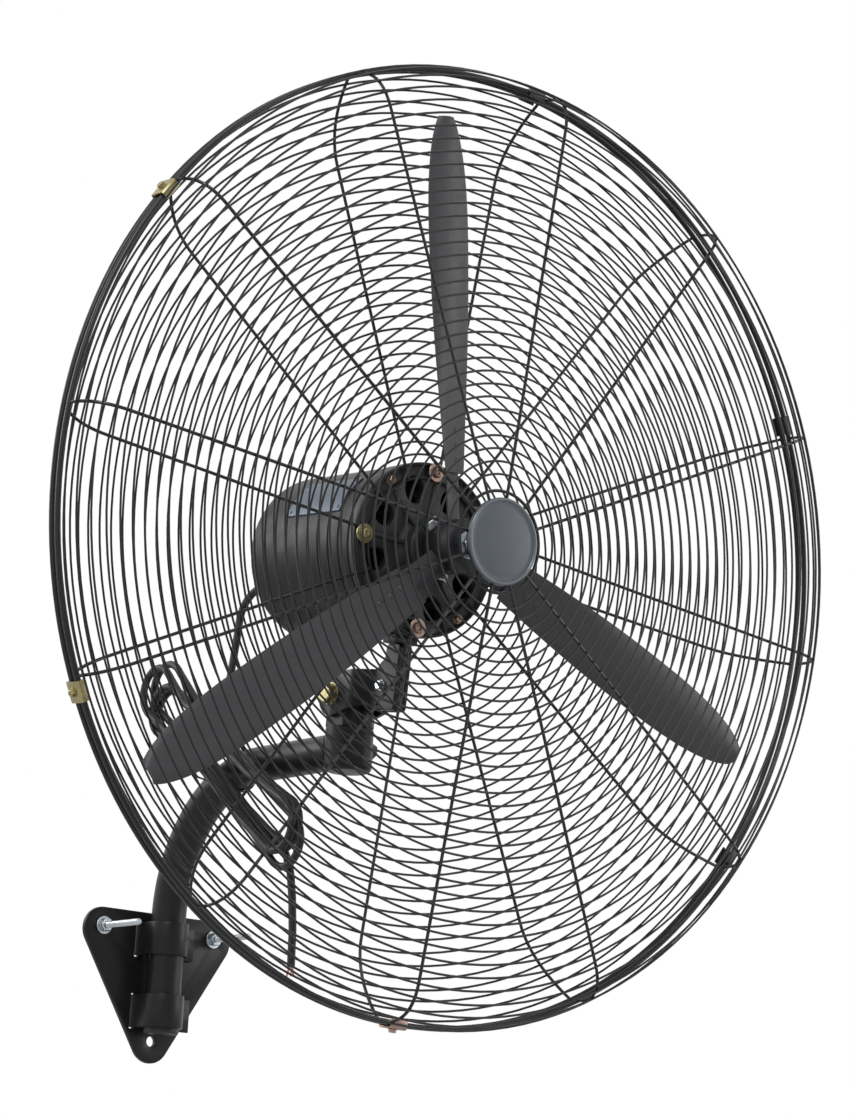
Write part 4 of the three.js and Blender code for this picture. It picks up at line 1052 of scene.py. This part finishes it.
def add_swivel():
    """The cup that the pivot's stem turns in, and the screw that holds the stem."""
    bm = bmesh.new()
    bore = STEM_R + GAP
    lathe(bm, [(0, SOCKET_FOOT), *arc(SOCKET_R - 5, SOCKET_FOOT + 5, 5, -90, 0, 6),
               (SOCKET_R, SOCKET_TOP - 1), (SOCKET_R - 1, SOCKET_TOP), (bore, SOCKET_TOP),
               (bore, SOCKET_FLOOR), (0, SOCKET_FLOOR)], 64)
    piece("swivel_cup", bm, AT_PIVOT, BLACK, "arm", ["swivel_socket"])
    bm = bmesh.new()
    turn = Matrix.Translation((0, 0, (SOCKET_FLOOR + SOCKET_TOP) / 2)) @ ALONG_X
    threaded(bm, SET_SCREW_R, STEM_R + 1, SOCKET_R + 2, 1, turn)
    hexagon(bm, 13, SOCKET_R + 0.4, SOCKET_R + 6, turn)
    piece("swivel_screw", bm, AT_PIVOT, IRON, "arm", ["swivel_set_screw"])


# ---------------------------------------------------------------- wall bracket
HOLES = ((-HOLE_SPAN / 2, 0), (HOLE_SPAN / 2, 0), (0, -HOLE_DROP))


def plate_outline():
    """Three corner discs and the straight edges that touch them."""
    inset = PLATE_CORNER_R - PLATE_EDGE_UP
    centres = [(-HOLE_SPAN / 2, -inset), (0, -HOLE_DROP), (HOLE_SPAN / 2, -inset)]
    outline = []
    for i, (x, z) in enumerate(centres):
        before_x, before_z = centres[i - 1]
        after_x, after_z = centres[(i + 1) % 3]
        start = math.degrees(math.atan2(z - before_z, x - before_x)) - 90
        end = math.degrees(math.atan2(after_z - z, after_x - x)) - 90
        outline += arc(x, z, PLATE_CORNER_R, start, end if end > start else end + 360, 20)
    return outline


def strap_outline():
    """Tongue in the plate, bend over the pipe and ear on the plate, seen from above."""
    inner = PIPE_R + GAP
    outer = inner + STRAP_T
    ear = PLATE_T + GAP
    left, right = PIPE_X - outer, PIPE_X + inner
    return [(PIPE_X - inner, -PLATE_T / 2), (left, -PLATE_T / 2),
            *arc(PIPE_X, PIPE_Y, outer, 180, 360, 32), (right + STRAP_T, -ear - STRAP_T),
            (EAR_END_X, -ear - STRAP_T), (EAR_END_X, -ear), (right, -ear),
            *arc(PIPE_X, PIPE_Y, inner, 0, -180, 32)]


def rounded_copy(name, node, material, body, width):
    """A CAD piece with its flat faces joined and its edges rounded."""
    bm = bmesh.new()
    bm.from_mesh(frame["nodes"][node].data)
    bmesh.ops.remove_doubles(bm, verts=bm.verts, dist=1e-5)
    bmesh.ops.dissolve_limit(bm, angle_limit=math.radians(1), verts=bm.verts, edges=bm.edges)
    corners = [e for e in bm.edges if e.calc_face_angle(0) > math.radians(40)]
    bmesh.ops.bevel(bm, geom=corners, offset=width * MM, segments=2, profile=0.5,
                    affect="EDGES", clamp_overlap=True)
    piece(name, bm, Matrix.Identity(4), material, body, [node])


def add_plate():
    """The three cornered plate with its holes and the straps' slots, and the pipe's saddle."""
    slot_x = PIPE_X - PIPE_R - GAP - STRAP_T / 2
    openings = [circle(x, z, FIX_HOLE_R, 32) for x, z in HOLES]
    openings += [rectangle(slot_x, z, *SLOT_HALF) for z in STRAP_Z]
    bm = bmesh.new()
    slab(bm, plate_outline(), openings, 0, PLATE_T, 1)
    piece("wall_plate_steel", bm, OUT_OF_WALL, BLACK, "wall_bracket", ["wall_plate"])
    rounded_copy("saddle", "pipe_saddle", BLACK, "wall_bracket", 0.6)


def add_straps():
    seat = PLATE_T + 2 * GAP + STRAP_T
    for z, which in zip(STRAP_Z, ("upper", "lower")):
        bm = bmesh.new()
        slab(bm, strap_outline(), [], z - STRAP_H / 2, z + STRAP_H / 2, 0.6)
        piece(f"strap_{which}", bm, MILLIMETRES, BLACK, "wall_bracket", [f"{which}_clamp_strap"])
        bm = bmesh.new()
        turn = Matrix.Translation((EAR_BOLT_X, z, 0))
        shank(bm, STRAP_BOLT_R, 1, seat + 1, 24, turn)
        washer(bm, STRAP_BOLT_R, 6, seat - 0.3, seat + 0.6, turn)
        hexagon(bm, 9, seat + 0.6, seat + 4.6, turn)
        piece(f"strap_bolt_{which}", bm, OUT_OF_WALL, IRON, "wall_bracket",
              [f"{which}_clamp_bolt"])


def add_anchors():
    """A stud, a washer and a nut in each of the plate's two upper holes."""
    seat = PLATE_T + GAP + ANCHOR_WASHER_T
    for (x, z), side in zip(HOLES, ("left", "right")):
        turn = Matrix.Translation((x, z, 0))
        rod, disc, nut = bmesh.new(), bmesh.new(), bmesh.new()
        threaded(rod, STUD_R, 0.5, PLATE_T + STUD_OUT, 1, turn)
        washer(disc, STUD_R + 0.2, ANCHOR_WASHER_R, PLATE_T + 0.1, seat, turn)
        hexagon(nut, 11, seat + GAP, seat + GAP + ANCHOR_NUT_T, turn, STUD_R)
        for bm, name, node in ((rod, "rod", "stud"), (disc, "disc", "washer"),
                               (nut, "hexagon", "nut")):
            piece(f"anchor_{name}_{side}", bm, OUT_OF_WALL, ZINC, "wall_bracket",
                  [f"anchor_{node}_{side}"])


def dress_cad():
    """Gives every CAD node its finish."""
    finishes = {
        "black_paint": BLACK, "grey_paint": CAST, "black_wire": WIRE, "bright_zinc": ZINC,
        "yellow_zinc": GOLD, "copper_zinc": COPPER, "dark_steel": IRON, "badge_face": BADGE,
        "black_rubber": RUBBER,
    }
    for row in frame["record"]["subparts"]:
        node = frame["nodes"][row["node"]]
        node.data.materials.clear()
        node.data.materials.append(finishes[row["material_slot"]])


# ---------------------------------------------------------------- stage
def add_lamp(name, place, size, power):
    data = bpy.data.lights.new(name, "AREA")
    data.size = size
    data.energy = power
    lamp = bpy.data.objects.new(name, data)
    bpy.context.scene.collection.objects.link(lamp)
    lamp.location = place
    lamp.rotation_euler = (Vector(AIM) - Vector(place)).to_track_quat("-Z", "Y").to_euler()


def seen_white(tree, strength):
    """A background that looks white, also in reflections, and lights at its own level."""
    path = tree.nodes.new("ShaderNodeLightPath")
    either = tree.nodes.new("ShaderNodeMath")
    either.operation = "MAXIMUM"
    tree.links.new(path.outputs["Is Camera Ray"], either.inputs[0])
    tree.links.new(path.outputs["Is Glossy Ray"], either.inputs[1])
    lit = tree.nodes.new("ShaderNodeBackground")
    lit.inputs["Strength"].default_value = strength
    seen = tree.nodes.new("ShaderNodeBackground")
    for node in (lit, seen):
        node.inputs["Color"].default_value = (1, 1, 1, 1)
    mix = tree.nodes.new("ShaderNodeMixShader")
    tree.links.new(either.outputs[0], mix.inputs[0])
    tree.links.new(lit.outputs[0], mix.inputs[1])
    tree.links.new(seen.outputs[0], mix.inputs[2])
    tree.links.new(mix.outputs[0], tree.nodes["World Output"].inputs["Surface"])


WORLD_LIGHT = 0.5
FLOOR_Z = -0.6
AIM = (0, -0.3, 0.25)
LAMPS = (("key", (-1.8, -2.2, 2.2), 0.9, 42), ("fill", (2.2, -1.6, 0.8), 1.3, 16),
         ("back", (-1.4, 1.4, 1.2), 1.2, 20))


def add_stage():
    """A white background, a pale floor well below the part, and three lamps."""
    scene = bpy.context.scene
    scene.view_settings.view_transform = "Standard"
    world = bpy.data.worlds.new("studio")
    world.use_nodes = True
    scene.world = world
    seen_white(world.node_tree, WORLD_LIGHT)
    bm = bmesh.new()
    bmesh.ops.create_grid(bm, x_segments=1, y_segments=1, size=6)
    mesh = bpy.data.meshes.new("floor")
    bm.to_mesh(mesh)
    bm.free()
    floor = bpy.data.objects.new("floor", mesh)
    floor.location = (0, 0, FLOOR_Z)
    mesh.materials.append(finish("pale_floor", (0.8, 0.8, 0.8), (0.6, 0.8), grain=40, bump=0.0))
    scene.collection.objects.link(floor)
    for name, place, size, power in LAMPS:
        add_lamp(name, place, size, power)


add_camera()
add_cord()
add_tie()
add_cage()
add_badge()
add_blades()
add_hub()
add_motor()
add_gland()
add_screws()
add_cheeks()
add_foot()
add_cross_bolt()
add_pivot()
add_tilt_bolt()
add_pipe()
add_swivel()
add_pipe_cap()
add_plate()
add_straps()
add_anchors()
dress_cad()
add_stage()
